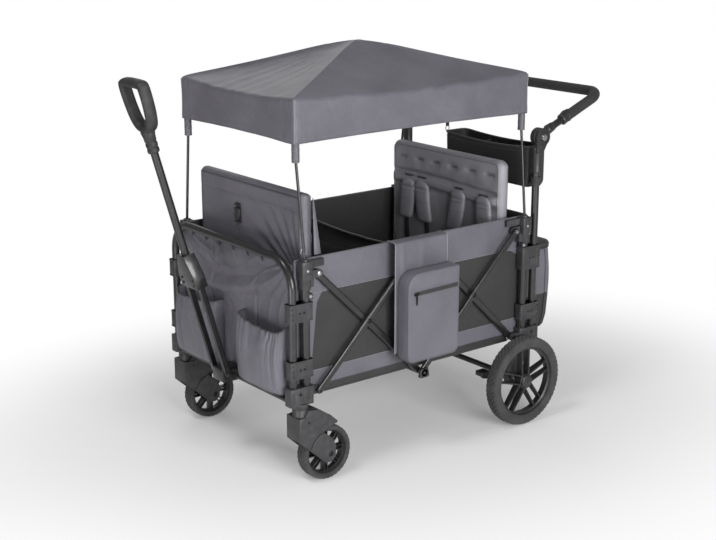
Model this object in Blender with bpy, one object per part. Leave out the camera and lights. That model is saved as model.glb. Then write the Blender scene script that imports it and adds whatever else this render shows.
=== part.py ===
# A folding wagon for two children: two end frames joined by scissor links, four corner posts that slide up
# as it folds, casters in front, large wheels behind, a pull handle, a push handle, seats and a canopy.
# Metres, +Z up. The pull handle points to -X, the push handle to +X, and the side pocket hangs at -Y.
import math

import bmesh
import bpy
from mathutils import Matrix, Vector

for old in list(bpy.data.objects):
    bpy.data.objects.remove(old)

# Running clearance between touching pieces, and room for soft pieces
gap = 0.0003
soft_gap = 0.0005

# Corner tubes: posts slide through the clamps that sit on the outer tubes
track = 0.300
post_reach = 0.414
post_radius = 0.0125
post_wall = 0.0015
tube_spacing = 0.043
frame_radius = 0.0115
frame_bend = 0.085
tube_sides = 12

# Scissor joints at rest: their heights from the floor, and how far inside the posts they lie
joint_inset = 0.041
joint_low = 0.266
joint_high = 0.603
middle_rise = 0.0285
link_radius = 0.010
link_thickness = 0.011
link_split = 0.003
pin_radius = 0.004
pin_head = 0.0075
pin_head_height = 0.0017

# Corner plastics, each placed from the link joint that it carries
hub_below_joint = 0.013
hub_above_joint = 0.039
hub_half_width = 0.0165
collar_length = 0.027
frame_above_hub = 0.003
bracket_below_joint = 0.028
bracket_above_joint = 0.024
bracket_half_width = 0.0165
frame_seat = 0.014
post_seat = 0.024
crossbar_radius = 0.0095
crossbar_seat = 0.010
clamp_wall = 0.003
low_clamp_rise = 0.026
low_clamp_height = 0.051
front_clamp_drop = 0.034
front_clamp_height = 0.052
rear_clamp_drop = 0.013
rear_clamp_height = 0.073

# Casters
caster_wheel_radius = 0.080
caster_wheel_width = 0.045
caster_trail = 0.081
caster_tyre_thickness = 0.014
caster_tyre_clearance = 0.0065
caster_rim_width = 0.030
caster_head_radius = 0.024
caster_head_drop = 0.0125
kingpin_radius = 0.007
kingpin_height = 0.0105
fork_clearance = 0.003
fork_plate = 0.005
caster_axle_radius = 0.005

# Rear wheels, axle and brake
wheel_radius = 0.140
wheel_width = 0.046
rear_tyre_thickness = 0.030
wheel_outset = 0.057
axle_inset = 0.042
axle_radius = 0.006
axle_shoulder = 0.010
axle_cap = 0.021
rear_rim_width = 0.032
brake_tube_radius = 0.0088
brake_reach = 0.104

# Pull handle, along its own length from the pivot
pull_offset = 0.040
pull_pivot_rise = 0.014
pull_lean = math.radians(16.1)
pull_bar_spacing = 0.033
pull_bar_width = 0.013
pull_bar_depth = 0.016
pull_bar_length = 0.300
coupling_start = 0.284
coupling_end = 0.384
pull_tube_radius = 0.011
pull_tube_end = 0.738
neck_start = 0.690
grip_length = 0.160
grip_half_width = 0.062
grip_depth = 0.034
grip_bar = 0.022

# Push handle
push_hub_offset = 0.012
push_hub_height = 0.882
push_hub_radius = 0.027
push_socket_drop = 0.107
push_arm_reach = 0.272
push_arm_rise = 0.110
push_split = 0.0033
push_tube_radius = 0.011
push_bend = 0.045
push_foam_radius = 0.0155
push_collar_place = 0.105
push_collar_length = 0.032

# Fabric tub
wall_thickness = 0.0035
tub_clearance = 0.0015
tub_drop = 0.002
tub_low = 0.272
end_wall_low = 0.262
cloth_floor_drop = 0.013
cloth_floor_inset = 0.016
floor_board_thickness = 0.009
floor_board_length = 0.308
board_side_clearance = 0.0095
mat_side_clearance = 0.0035
board_hinge_inset = 0.026
board_hinge_height = 0.262
hinge_tube_radius = 0.006
mat_thickness = 0.005

# Seats
seatback_clearance = 0.0095
seatback_depth = 0.040
seatback_above_bench = 0.030
seatback_length = 0.362
seatback_side_gap = 0.0295
seat_hinge_inset = 0.012
bench_inset = 0.047
bench_height = 0.420
bench_thickness = 0.036
bench_depth = 0.184
bench_side_gap = 0.0075
seam_step = 0.004
harness_pad_width = 0.052
harness_pad_thickness = 0.012

# Canopy
canopy_overhang = 0.0185
canopy_inset = 0.016
canopy_eave = 1.076
canopy_rise = 0.102
valance_depth = 0.121
cloth = 0.003
pole_radius = 0.004
sleeve_radius = 0.011
sleeve_below_valance = 0.049

# Pockets and bags
pocket_inner = 0.055
pocket_side_inset = 0.008
pocket_depth = 0.056
pocket_low = 0.262
pocket_high = 0.455
bag_depth = 0.139
bag_inset = 0.032
bag_low = 0.258
bag_high = 0.540
bag_wall = 0.004
zip_gap = 0.003
strap_front = -0.113
strap_rear = 0.083
strap_thickness = 0.003
saddle_front = -0.102
saddle_rear = 0.090
saddle_low = 0.297
saddle_high = 0.560
saddle_depth = 0.050
divider_drop = 0.040
divider_height = 0.055
organizer_depth = 0.091
organizer_inset = 0.0275
organizer_far = 0.100
organizer_low = 0.722
organizer_high = 0.850

# Places worked out from the sizes above
frame_reach = post_reach + tube_spacing
joint_reach = post_reach - joint_inset
middle_high = joint_high + middle_rise
middle_low = joint_low - middle_rise
hub_low = joint_high - hub_below_joint
hub_high = joint_high + hub_above_joint
collar_low = hub_low - collar_length
frame_top = hub_high + frame_above_hub
bracket_low = joint_low - bracket_below_joint
bracket_high = joint_low + bracket_above_joint
frame_foot = bracket_low + frame_seat
post_foot = bracket_low + post_seat
crossbar_height = bracket_low + crossbar_seat
low_clamp = (bracket_high + low_clamp_rise, bracket_high + low_clamp_rise + low_clamp_height)
front_clamp_top = collar_low - front_clamp_drop
rear_clamp_top = collar_low - rear_clamp_drop
clamp_heights_front = (low_clamp, (front_clamp_top - front_clamp_height, front_clamp_top))
clamp_heights_rear = (low_clamp, (rear_clamp_top - rear_clamp_height, rear_clamp_top))
outer_layer = (track + link_split / 2, track + link_split / 2 + link_thickness)
inner_layer = (track - link_split / 2 - link_thickness, track - link_split / 2)
caster_head_high = bracket_low - caster_head_drop
kingpin_reach = (post_reach + frame_reach) / 2
wheel_track = track + wheel_outset
axle_reach = post_reach - axle_inset
pull_pivot_reach = frame_reach + pull_offset
pull_pivot_height = crossbar_height + pull_pivot_rise
pull_direction = Vector((-math.sin(pull_lean), 0, math.cos(pull_lean)))
pull_pivot = Vector((-pull_pivot_reach, 0, pull_pivot_height))
push_hub_reach = frame_reach + push_hub_offset
push_reach = push_hub_reach + push_arm_reach
push_height = push_hub_height + push_arm_rise
push_rise = math.atan2(push_arm_rise, push_arm_reach)
push_socket_low = push_hub_height - push_socket_drop
wall_outer = track - bracket_half_width - soft_gap
wall_inner = wall_outer - wall_thickness
tub_reach = frame_reach - frame_radius - tub_clearance
tub_top = hub_high - tub_drop
board_hinge_reach = post_reach - board_hinge_inset
cloth_floor = board_hinge_height - cloth_floor_drop
cloth_floor_reach = board_hinge_reach - cloth_floor_inset
seatback_outer = post_reach - post_radius - seatback_clearance
seatback_inner = seatback_outer - seatback_depth
seatback_low = bench_height + seatback_above_bench
seatback_high = seatback_low + seatback_length
seatback_half_width = wall_inner - seatback_side_gap
bench_hinge_reach = seatback_inner - bench_inset
bench_half_width = wall_inner - bench_side_gap
canopy_half_length = post_reach + canopy_overhang
canopy_half_width = track - canopy_inset
canopy_peak = canopy_eave + canopy_rise
valance_low = canopy_eave - valance_depth
sleeve_low = valance_low - sleeve_below_valance
divider_high = tub_top - divider_drop
divider_low = divider_high - divider_height
pocket_outer = wall_outer - pocket_side_inset
pocket_front = tub_reach + pocket_depth
rear_bag_front = tub_reach + 0.0025
bag_rear = tub_reach + bag_depth
bag_half_width = track - bag_inset
organizer_rear = tub_reach + organizer_depth
organizer_half_width = track - organizer_inset


def crossing(end):
    """Where the two links of one end cross, as (x, z)."""
    share = (joint_high - joint_low) / (joint_high - joint_low + middle_high - middle_low)
    return (
        end * joint_reach * (1 - share),
        joint_high + (middle_low - joint_high) * share,
    )


# Body name: (parent body, pivot)
pivots = {
    "front_frame": (None, (0, 0, 0)),
    "scissor_a": ("front_frame", (-joint_reach, 0, joint_low)),
    "scissor_b": ("scissor_a", (crossing(-1)[0], 0, crossing(-1)[1])),
    "front_posts": ("scissor_b", (-joint_reach, 0, joint_high)),
    "scissor_c": ("scissor_a", (0, 0, middle_high)),
    "scissor_d": ("scissor_c", (crossing(1)[0], 0, crossing(1)[1])),
    "middle_strap": ("scissor_a", (0, 0, middle_high)),
    "middle_foot": ("scissor_b", (0, 0, middle_low)),
    "rear_frame": ("scissor_c", (joint_reach, 0, joint_low)),
    "rear_posts": ("scissor_d", (joint_reach, 0, joint_high)),
    "front_board": ("front_frame", (-board_hinge_reach, 0, board_hinge_height)),
    "rear_board": ("rear_frame", (board_hinge_reach, 0, board_hinge_height)),
    "front_bench": ("front_posts", (-bench_hinge_reach, 0, bench_height)),
    "rear_bench": ("rear_posts", (bench_hinge_reach, 0, bench_height)),
    "front_seatback": ("front_posts", (-seatback_inner - seat_hinge_inset, 0, seatback_low + seat_hinge_inset)),
    "rear_seatback": ("rear_posts", (seatback_inner + seat_hinge_inset, 0, seatback_low + seat_hinge_inset)),
    "pull_fork": ("front_frame", tuple(pull_pivot)),
    "pull_grip": ("pull_fork", tuple(pull_pivot + pull_direction * coupling_end)),
    "push_handle": ("rear_frame", (push_hub_reach, 0, push_hub_height)),
    "brake": ("rear_frame", (axle_reach, 0, wheel_radius)),
}
for side, hand in ((-1, "left"), (1, "right")):
    pivots[f"{hand}_caster"] = (
        "front_frame",
        (-kingpin_reach, side * track, caster_head_high),
    )
    pivots[f"{hand}_caster_wheel"] = (
        f"{hand}_caster",
        (caster_trail - kingpin_reach, side * track, caster_wheel_radius),
    )
    pivots[f"{hand}_rear_wheel"] = (
        "rear_frame",
        (axle_reach, side * wheel_track, wheel_radius),
    )

empties = {}
for body, (parent, place) in pivots.items():
    empty = bpy.data.objects.new(f"{body}_pivot", None)
    empty.empty_display_size = 0.03
    bpy.context.scene.collection.objects.link(empty)
    empty.location = place
    if parent:
        empty.parent = empties[parent]
        empty.location = Vector(place) - Vector(pivots[parent][1])
    empties[body] = empty

materials = {}


def material(name, colour, roughness, metallic=0.0):
    made = bpy.data.materials.new(name)
    made.use_nodes = True
    shader = made.node_tree.nodes["Principled BSDF"]
    shader.inputs["Base Color"].default_value = (*colour, 1)
    shader.inputs["Roughness"].default_value = roughness
    shader.inputs["Metallic"].default_value = metallic
    made.diffuse_color = (*colour, 1)
    materials[name] = made


material("black_paint", (0.030, 0.030, 0.031), 0.35, 0.6)
material("dark_plastic", (0.060, 0.062, 0.065), 0.5)
material("tyre", (0.075, 0.076, 0.078), 0.8)
material("rim_plastic", (0.030, 0.030, 0.032), 0.5)
material("steel", (0.55, 0.55, 0.55), 0.3, 1.0)
material("grey_fabric", (0.130, 0.125, 0.140), 0.9)
material("black_fabric", (0.020, 0.020, 0.021), 0.9)
material("foam", (0.028, 0.028, 0.029), 0.9)
material("board", (0.025, 0.025, 0.026), 0.8)


def piece(name, shape, body, finish, smooth=35):
    """A node of one body, with its origin on the body's joint."""
    bmesh.ops.recalc_face_normals(shape, faces=shape.faces)
    pivot = Vector(pivots[body][1])
    bmesh.ops.translate(shape, verts=shape.verts, vec=-pivot)
    mesh = bpy.data.meshes.new(name)
    shape.to_mesh(mesh)
    shape.free()
    mesh.materials.append(materials[finish])
    mesh.shade_smooth()
    mesh.set_sharp_from_angle(angle=math.radians(smooth))
    made = bpy.data.objects.new(name, mesh)
    bpy.context.scene.collection.objects.link(made)
    made.parent = empties[body]
    return made


def merged(*shapes):
    """Separate solids put together in one mesh."""
    whole = bmesh.new()
    for shape in shapes:
        mesh = bpy.data.meshes.new("part")
        bmesh.ops.recalc_face_normals(shape, faces=shape.faces)
        shape.to_mesh(mesh)
        shape.free()
        whole.from_mesh(mesh)
        bpy.data.meshes.remove(mesh)
    return whole


def combine(base, tool, operation):
    """A Boolean of two shapes, which are used up."""
    made = []
    for shape in (base, tool):
        bmesh.ops.recalc_face_normals(shape, faces=shape.faces)
        mesh = bpy.data.meshes.new("part")
        shape.to_mesh(mesh)
        shape.free()
        item = bpy.data.objects.new("part", mesh)
        bpy.context.scene.collection.objects.link(item)
        made.append(item)
    modifier = made[0].modifiers.new("Combine", "BOOLEAN")
    modifier.operation = operation
    modifier.object = made[1]
    result = bmesh.new()
    result.from_object(made[0], bpy.context.evaluated_depsgraph_get())
    for item in made:
        mesh = item.data
        bpy.data.objects.remove(item)
        bpy.data.meshes.remove(mesh)
    return result


def union(first, *others):
    for other in others:
        first = combine(first, other, "UNION")
    return first


def cut(base, *tools):
    for tool in tools:
        base = combine(base, tool, "DIFFERENCE")
    return base


def loops_to_solid(loops, closed=False):
    """Rings of equal count joined into one solid, with flat caps unless the rings close on themselves."""
    shape = bmesh.new()
    rings = [[shape.verts.new(p) for p in loop] for loop in loops]
    pairs = list(zip(rings, rings[1:]))
    if closed:
        pairs.append((rings[-1], rings[0]))
    for one, other in pairs:
        for i in range(len(one)):
            j = (i + 1) % len(one)
            shape.faces.new((one[i], one[j], other[j], other[i]))
    if not closed:
        shape.faces.new(rings[0][::-1])
        shape.faces.new(rings[-1])
    return shape


def flat_faces(shape, corners):
    """Two flat triangles across the first and third corners, for four points that don't lie in one plane."""
    one, two, three, four = corners
    shape.faces.new((one, two, three))
    shape.faces.new((one, three, four))


def on_axis(axis, along, first, second):
    """A point from its place along an axis and its two other coordinates in X, Y, Z order."""
    return {
        "X": (along, first, second),
        "Y": (first, along, second),
        "Z": (first, second, along),
    }[axis]


def prism(outline, axis, low, high):
    return loops_to_solid([[on_axis(axis, level, *p) for p in outline] for level in (low, high)])


def box(low, high):
    outline = [(low[0], low[1]), (high[0], low[1]), (high[0], high[1]), (low[0], high[1])]
    return prism(outline, "Z", low[2], high[2])


def rounded_outline(points, radius, steps=3):
    """A polygon with each corner turned into an arc."""
    out = []
    count = len(points)
    for i, corner in enumerate(points):
        corner = Vector(corner)
        before = (Vector(points[i - 1]) - corner).normalized()
        after = (Vector(points[(i + 1) % count]) - corner).normalized()
        half = before.angle(after) / 2
        reach = radius / math.tan(half)
        centre = corner + (before + after).normalized() * (radius / math.sin(half))
        start = corner + before * reach - centre
        turn = start.angle_signed(corner + after * reach - centre)
        for step in range(steps + 1):
            out.append(tuple(centre + rotated(start, -turn * step / steps)))
    return out


def rotated(vector, angle):
    c, s = math.cos(angle), math.sin(angle)
    return Vector((c * vector[0] - s * vector[1], s * vector[0] + c * vector[1]))


def rounded_box(low, high, radius, axis="Z", steps=2):
    """A box whose edges along one axis are round."""
    flat = [i for i in range(3) if "XYZ"[i] != axis]
    along = "XYZ".index(axis)
    a, b = flat
    corners = [(low[a], low[b]), (high[a], low[b]), (high[a], high[b]), (low[a], high[b])]
    return prism(rounded_outline(corners, radius, steps), axis, low[along], high[along])


def circle(centre, radius, sides, phase=0.5):
    return [
        (
            centre[0] + radius * math.cos(2 * math.pi * (i + phase) / sides),
            centre[1] + radius * math.sin(2 * math.pi * (i + phase) / sides),
        )
        for i in range(sides)
    ]


def rod(axis, centre, radius, low, high, sides=tube_sides):
    """A round bar along an axis, from the two other coordinates of its middle."""
    return prism(circle(centre, radius, sides), axis, low, high)


def turned(profile, axis, centre, sides, ring=False):
    """A profile of (radius, place along the axis) turned about the axis."""
    loops = [[on_axis(axis, along, *p) for p in circle(centre, radius, sides)] for radius, along in profile]
    return loops_to_solid(loops, closed=ring)


def across_flats(radius, sides):
    """The corner radius of a many-sided round whose flats lie at the radius given."""
    return radius / math.cos(math.pi / sides)


def bore(axis, centre, radius, low, high, sides=tube_sides):
    """A round cutter whose flats clear a turning shaft of the radius given."""
    return rod(axis, centre, across_flats(radius + gap, sides), low, high, sides)


def swept(path, radius, sides=tube_sides, bore=0.0):
    """A tube along a path, solid or with a bore."""
    points = [Vector(p) for p in path]
    steps = [(b - a).normalized() for a, b in zip(points, points[1:])]
    tangents = [steps[0]]
    tangents += [(a + b).normalized() for a, b in zip(steps, steps[1:])]
    tangents.append(steps[-1])
    normal = steps[0].orthogonal().normalized()
    if abs(steps[0].x) < 0.9:
        normal = (Vector((1, 0, 0)) - steps[0] * steps[0].x).normalized()
    outer, inner = [], []
    for i, tangent in enumerate(tangents):
        if i:
            normal = tangents[i - 1].rotation_difference(tangent) @ normal
        side = tangent.cross(normal)
        bend = 1.0
        if 0 < i < len(points) - 1:
            bend = 1 / math.cos(steps[i - 1].angle(steps[i]) / 2)
        turn = Vector((0, 0, 0))
        if bend > 1.00001:
            turn = (steps[i] - steps[i - 1]).normalized()
        for loop, size in ((outer, radius), (inner, bore)):
            ring = []
            for k in range(sides):
                angle = 2 * math.pi * (k + 0.5) / sides
                offset = (normal * math.cos(angle) + side * math.sin(angle)) * size
                offset += turn * (offset.dot(turn) * (bend - 1))
                ring.append(points[i] + offset)
            loop.append(ring)
    if not bore:
        return loops_to_solid(outer)
    return loops_to_solid(outer + inner[::-1], closed=True)


def rounded_path(points, radius, steps=5):
    """A bent tube's middle line: straight runs joined by arcs."""
    points = [Vector(p) for p in points]
    out = [points[0]]
    for before, corner, after in zip(points, points[1:], points[2:]):
        back, on = (before - corner).normalized(), (after - corner).normalized()
        half = back.angle(on) / 2
        reach = radius / math.tan(half)
        centre = corner + (back + on).normalized() * (radius / math.sin(half))
        start = corner + back * reach - centre
        axis = start.cross(corner + on * reach - centre).normalized()
        sweep = math.pi - 2 * half
        for step in range(steps + 1):
            out.append(centre + Matrix.Rotation(sweep * step / steps, 3, axis) @ start)
    out.append(points[-1])
    return out


def at_side(side, low, high):
    """A stretch of Y between two distances from the middle, in rising order."""
    return tuple(sorted((side * low, side * high)))


def corner_box(end, side, reach, width, height, radius=0.0):
    """A box at one corner of the wagon, from distances fore or aft, sideways and up."""
    x = sorted((end * reach[0], end * reach[1]))
    y = at_side(side, *width)
    low, high = (x[0], y[0], height[0]), (x[1], y[1], height[1])
    return rounded_box(low, high, radius) if radius else box(low, high)


def rivet(place, side, carrier, head=pin_head, tall=pin_head_height):
    """A pin fixed in one layer of links, which runs through the other layer and ends in a head."""
    if carrier == outer_layer:
        start, face, out = outer_layer[0] + 0.003, inner_layer[0] - gap, -1
    else:
        start, face, out = inner_layer[1] - 0.003, outer_layer[1] + gap, 1
    profile = [(pin_radius, start), (pin_radius, face), (head, face), (head, face + out * tall)]
    return turned([(radius, side * y) for radius, y in profile], "Y", place, 8)


def pin_hole(place, side, layer):
    return bore("Y", place, pin_radius, *at_side(side, layer[0] - 0.002, layer[1] + 0.002), 8)


def stadium(start, finish, radius, steps=5):
    """The outline of a flat bar with round ends."""
    a, b = Vector(start), Vector(finish)
    along = (b - a).normalized()
    out = []
    for centre, turn in ((b, -math.pi / 2), (a, math.pi / 2)):
        for step in range(steps + 1):
            out.append(tuple(centre + rotated(along, turn + math.pi * step / steps) * radius))
    return out


def build_scissors():
    low = {end: (end * joint_reach, joint_low) for end in (-1, 1)}
    high = {end: (end * joint_reach, joint_high) for end in (-1, 1)}
    middle_top, middle_bottom = (0, middle_high), (0, middle_low)
    plan = (
        ("front_rising", "a", low[-1], middle_top, (), (crossing(-1), middle_top), outer_layer),
        ("front_falling", "b", high[-1], middle_bottom, (crossing(-1), middle_bottom), (), inner_layer),
        ("rear_falling", "c", low[1], middle_top, (middle_top,), (crossing(1),), inner_layer),
        ("rear_rising", "d", high[1], middle_bottom, (crossing(1), middle_bottom), (), outer_layer),
    )
    for side, hand in ((-1, "left"), (1, "right")):
        for name, letter, start, finish, holes, pins, layer in plan:
            bar = prism(stadium(start, finish, link_radius), "Y", *at_side(side, *layer))
            bar = cut(bar, *[pin_hole(place, side, layer) for place in (start, *holes)])
            bar = union(bar, *[rivet(place, side, layer) for place in pins])
            piece(f"{hand}_{name}_link", bar, f"scissor_{letter}", "black_paint")
    tube_end = inner_layer[0] - gap
    tube = rod("Y", middle_bottom, crossbar_radius, -tube_end, tube_end)
    feet = []
    for side in (-1, 1):
        profile = [
            (pin_radius, tube_end - 0.004),
            (pin_radius, outer_layer[1] + gap),
            (0.0125, outer_layer[1] + gap),
            (0.0125, outer_layer[1] + 0.010),
        ]
        feet.append(turned([(radius, side * y) for radius, y in profile], "Y", middle_bottom, 10))
    piece("middle_crossbar", union(tube, *feet), "middle_foot", "black_paint")


def ear(end, side, start, height, layer):
    """The lug that holds a link's end pin, from the corner plastic to the joint."""
    outline = stadium((end * start, height), (end * joint_reach, height), link_radius + 0.0015)
    return prism(outline, "Y", *at_side(side, *layer))


def corner_hub(end, side):
    """The top hub of a post, with the link's lug and pin, the hem plug, the latch and the pole's hole."""
    width = (track - hub_half_width, track + hub_half_width)
    lug = outer_layer if end < 0 else inner_layer
    near = post_reach - hub_half_width - 0.001
    block = corner_box(
        end, side, (near, post_reach + hub_half_width + 0.001), width, (hub_low, hub_high), 0.004
    )
    collar = rod("Z", (end * post_reach, side * track), 0.0163, collar_low, hub_low + 0.004, 12)
    lug_piece = ear(end, side, near + 0.012, joint_high, lug)
    plug = corner_box(
        end,
        side,
        (near - 0.051, near + 0.004),
        (track - 0.015, track - 0.0035),
        (hub_high - 0.024, hub_high - 0.004),
    )
    latch = corner_box(
        end,
        side,
        (near - 0.008, near + 0.008),
        (track - 0.0065, track + 0.0065),
        (hub_low - 0.023, hub_low + 0.003),
    )
    pin = rivet((end * joint_reach, joint_high), side, lug)
    whole = union(block, collar, lug_piece, plug, latch, pin)
    centre = (end * post_reach, side * track)
    return cut(
        whole,
        bore("Z", centre, post_radius, collar_low - 0.01, hub_high - 0.012, 12),
        bore("Z", centre, pole_radius, hub_high - 0.02, hub_high + 0.01, 8),
    )


def corner_clamp(end, side, heights):
    """A clamp fixed on the outer tube, with a running bore for the post."""
    wide = post_radius + clamp_wall
    block = corner_box(
        end,
        side,
        (post_reach - wide - 0.001, frame_reach + frame_radius + clamp_wall + 0.002),
        (track - wide, track + wide),
        heights,
        0.005,
    )
    place = (end * post_reach, side * track)
    return cut(block, bore("Z", place, post_radius, heights[0] - 0.01, heights[1] + 0.01, 12))


def corner_bracket(end, side):
    """The bottom bracket: holds the outer tube, guides the post and carries a link, caster or axle."""
    width = (track - bracket_half_width, track + bracket_half_width)
    lug = inner_layer if end < 0 else outer_layer
    near = post_reach - 0.017
    block = corner_box(end, side, (near, frame_reach + 0.019), width, (bracket_low, bracket_high), 0.006)
    lip = corner_box(
        end,
        side,
        (board_hinge_reach - 0.007, near + 0.008),
        (width[0], inner_layer[0] - gap),
        (board_hinge_height - 0.012, board_hinge_height + 0.012),
    )
    parts = [
        ear(end, side, post_reach - 0.006, joint_low, lug),
        rivet((end * joint_reach, joint_low), side, lug),
        lip,
    ]
    if end < 0:
        place = (end * kingpin_reach, side * track)
        parts.append(rod("Z", place, 0.0225, caster_head_high + soft_gap, bracket_low + 0.004, 12))
    else:
        arm = [
            (post_reach - 0.014, bracket_low + 0.03),
            (axle_reach - 0.020, wheel_radius + 0.032),
            (axle_reach - 0.022, wheel_radius),
            (axle_reach - 0.013, wheel_radius - 0.020),
            (axle_reach, wheel_radius - 0.025),
            (axle_reach + 0.014, wheel_radius - 0.020),
            (axle_reach + 0.026, wheel_radius + 0.012),
            (frame_reach - 0.002, bracket_low + 0.008),
            (frame_reach - 0.002, bracket_low + 0.03),
        ]
        parts.append(prism(arm, "Y", *at_side(side, track - 0.010, track + bracket_half_width - 0.001)))
    whole = union(block, *parts)
    centre = (end * post_reach, side * track)
    hinge = (end * board_hinge_reach, board_hinge_height)
    tools = [
        bore("Z", centre, post_radius, post_foot - gap, bracket_high + 0.01, 12),
        rod("Z", (end * frame_reach, side * track), frame_radius + gap, frame_foot - gap, bracket_high + 0.01),
        bore("Y", hinge, hinge_tube_radius, *at_side(side, width[0] - 0.003, inner_layer[0] - gap), 10),
    ]
    if end < 0:
        place = (end * kingpin_reach, side * track)
        top = caster_head_high + kingpin_height + gap
        tools.append(bore("Z", place, kingpin_radius, caster_head_high - 0.01, top, 12))
    else:
        tools.append(
            bore("Y", (axle_reach, wheel_radius), axle_radius, *at_side(side, track - 0.03, track + 0.03))
        )
    return cut(whole, *tools)


def pole_path(end, side):
    """A canopy pole: straight in its socket, then leaning to the corner of the roof."""
    corner = cloth + sleeve_radius + soft_gap
    top = (end * (canopy_half_length - corner), side * (canopy_half_width - corner))
    foot = (end * post_reach, side * track)
    return [
        (*foot, hub_high - 0.055),
        (*foot, hub_high + 0.004),
        (*top, sleeve_low + 0.010),
        (*top, canopy_eave - 0.016),
    ]


def build_corners():
    for end, name in ((-1, "front"), (1, "rear")):
        for side, hand in ((-1, "left"), (1, "right")):
            corner = f"{hand}_{name}"
            piece(f"{corner}_bracket", corner_bracket(end, side), f"{name}_frame", "dark_plastic")
            piece(f"{corner}_hub", corner_hub(end, side), f"{name}_posts", "dark_plastic")
            centre = (end * post_reach, side * track)
            levels = (post_foot, hub_high - 0.012 - gap)
            loops = [[(*p, z) for p in circle(centre, post_radius, 12)] for z in levels]
            loops += [[(*p, z) for p in circle(centre, post_radius - post_wall, 12)] for z in levels[::-1]]
            piece(f"{corner}_post", loops_to_solid(loops, closed=True), f"{name}_posts", "black_paint")
            line = pole_path(end, side)
            sleeve = swept([Vector(line[2]) - Vector((0, 0, 0.010)), line[3]], sleeve_radius, 12)
            pole = union(swept(line, pole_radius, 8), sleeve)
            piece(f"{corner}_canopy_pole", pole, f"{name}_posts", "black_paint")


def build_end_frames():
    path = rounded_path(
        [
            (-frame_reach, -track, frame_foot),
            (-frame_reach, -track, frame_top),
            (-frame_reach, track, frame_top),
            (-frame_reach, track, frame_foot),
        ],
        frame_bend,
        6,
    )
    clamps = [corner_clamp(-1, side, heights) for side in (-1, 1) for heights in clamp_heights_front]
    piece("front_frame_tube", union(swept(path, frame_radius), *clamps), "front_frame", "black_paint")
    inner = track - bracket_half_width - gap
    crossbar = rod("Y", (frame_reach, crossbar_height), crossbar_radius, -inner, inner)
    piece("rear_crossbar", crossbar, "rear_frame", "black_paint")

    pivot = (-pull_pivot_reach, pull_pivot_height)
    front = rod("Y", (-frame_reach, crossbar_height), crossbar_radius, -inner, inner)
    half = pull_bar_spacing - pull_bar_width / 2 - 0.0007
    back = -frame_reach + frame_radius
    block = rounded_box(
        (pivot[0] - 0.013, -half, crossbar_height - 0.0125), (back, half, pivot[1] + 0.015), 0.006, "Y", 2
    )
    outer = pull_bar_spacing + pull_bar_width / 2
    bolt = [
        (pin_head, -outer - gap - 0.003),
        (pin_head, -outer - gap),
        (pin_radius, -outer - gap),
        (pin_radius, outer + gap),
        (pin_head, outer + gap),
        (pin_head, outer + gap + 0.003),
    ]
    whole = union(front, block, turned(bolt, "Y", pivot, 8))
    piece("front_crossbar", whole, "front_frame", "black_paint")

    hub = (push_hub_reach, push_hub_height)
    split = track + push_split
    for side, hand in ((-1, "left"), (1, "right")):
        place = (frame_reach, side * track)
        top = push_hub_height - push_hub_radius - 0.003
        tube = rod("Z", place, frame_radius, frame_foot, top - 0.002)
        clamps = [corner_clamp(1, side, heights) for heights in clamp_heights_rear]
        socket = rod("Z", place, 0.0158, push_socket_low, top)
        disc = rod("Y", hub, push_hub_radius, *at_side(side, split, track + 0.018), 16)
        web = prism(
            [
                (frame_reach - 0.014, top - 0.018),
                (frame_reach + 0.0145, top - 0.018),
                (push_hub_reach + 0.022, push_hub_height - 0.012),
                (push_hub_reach - 0.024, push_hub_height),
            ],
            "Y",
            *at_side(side, split, track + 0.0155),
        )
        profile = [
            (0.009, track - 0.0205),
            (0.009, track - 0.0163),
            (0.0055, track - 0.0163),
            (0.0055, track + 0.0170),
            (0.0095, track + 0.0170),
            (0.0085, track + 0.0215),
        ]
        bolt = turned([(radius, side * y) for radius, y in profile], "Y", hub, 10)
        whole = union(tube, *clamps, socket, web, disc, bolt)
        piece(f"{hand}_push_tube", whole, "rear_frame", "black_paint")


def tyre(radius, width, thickness, sides, centre):
    """A tyre with a flat tread and chamfered shoulders, standing on one of its flats."""
    y = centre[1]
    half = width / 2
    profile = [
        (radius, y - half * 0.45),
        (radius, y + half * 0.45),
        (radius - thickness * 0.35, y + half * 0.92),
        (radius - thickness, y + half * 0.72),
        (radius - thickness, y - half * 0.72),
        (radius - thickness * 0.35, y - half * 0.92),
    ]
    profile = [(across_flats(r, sides), along) for r, along in profile]
    return turned(profile, "Y", (centre[0], centre[2]), sides, ring=True)


def rim(outer, band, hub, shaft, spokes, spoke_width, pair_gap, depth, width, sides, centre):
    """A moulded rim: an outer ring, a bored hub and straight spokes, single or in pairs."""
    x, y, z = centre
    half = width / 2
    far = across_flats(outer, sides)
    near = across_flats(outer - band, sides)
    ring = turned(
        [(far, y - half), (far, y + half), (near, y + half), (near, y - half)],
        "Y",
        (x, z),
        sides,
        ring=True,
    )
    hole = across_flats(shaft + gap, 12)
    boss = turned([(hub, y - half), (hub, y + half), (hole, y + half), (hole, y - half)], "Y", (x, z), 12, ring=True)
    bars = []
    for i in range(spokes):
        angle = 2 * math.pi * i / spokes + math.pi / 2
        for offset in (-pair_gap / 2, pair_gap / 2) if pair_gap else (0,):
            start, end = math.sqrt(hub**2 - offset**2) * 0.93 - 0.002, outer - band * 0.5
            corners = [
                (start, offset - spoke_width / 2),
                (end, offset - spoke_width / 2),
                (end, offset + spoke_width / 2),
                (start, offset + spoke_width / 2),
            ]
            outline = [tuple(rotated(Vector(c), angle) + Vector((x, z))) for c in corners]
            bars.append(prism(outline, "Y", y - depth / 2, y + depth / 2))
    return union(merged(ring, boss), *bars)


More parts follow.
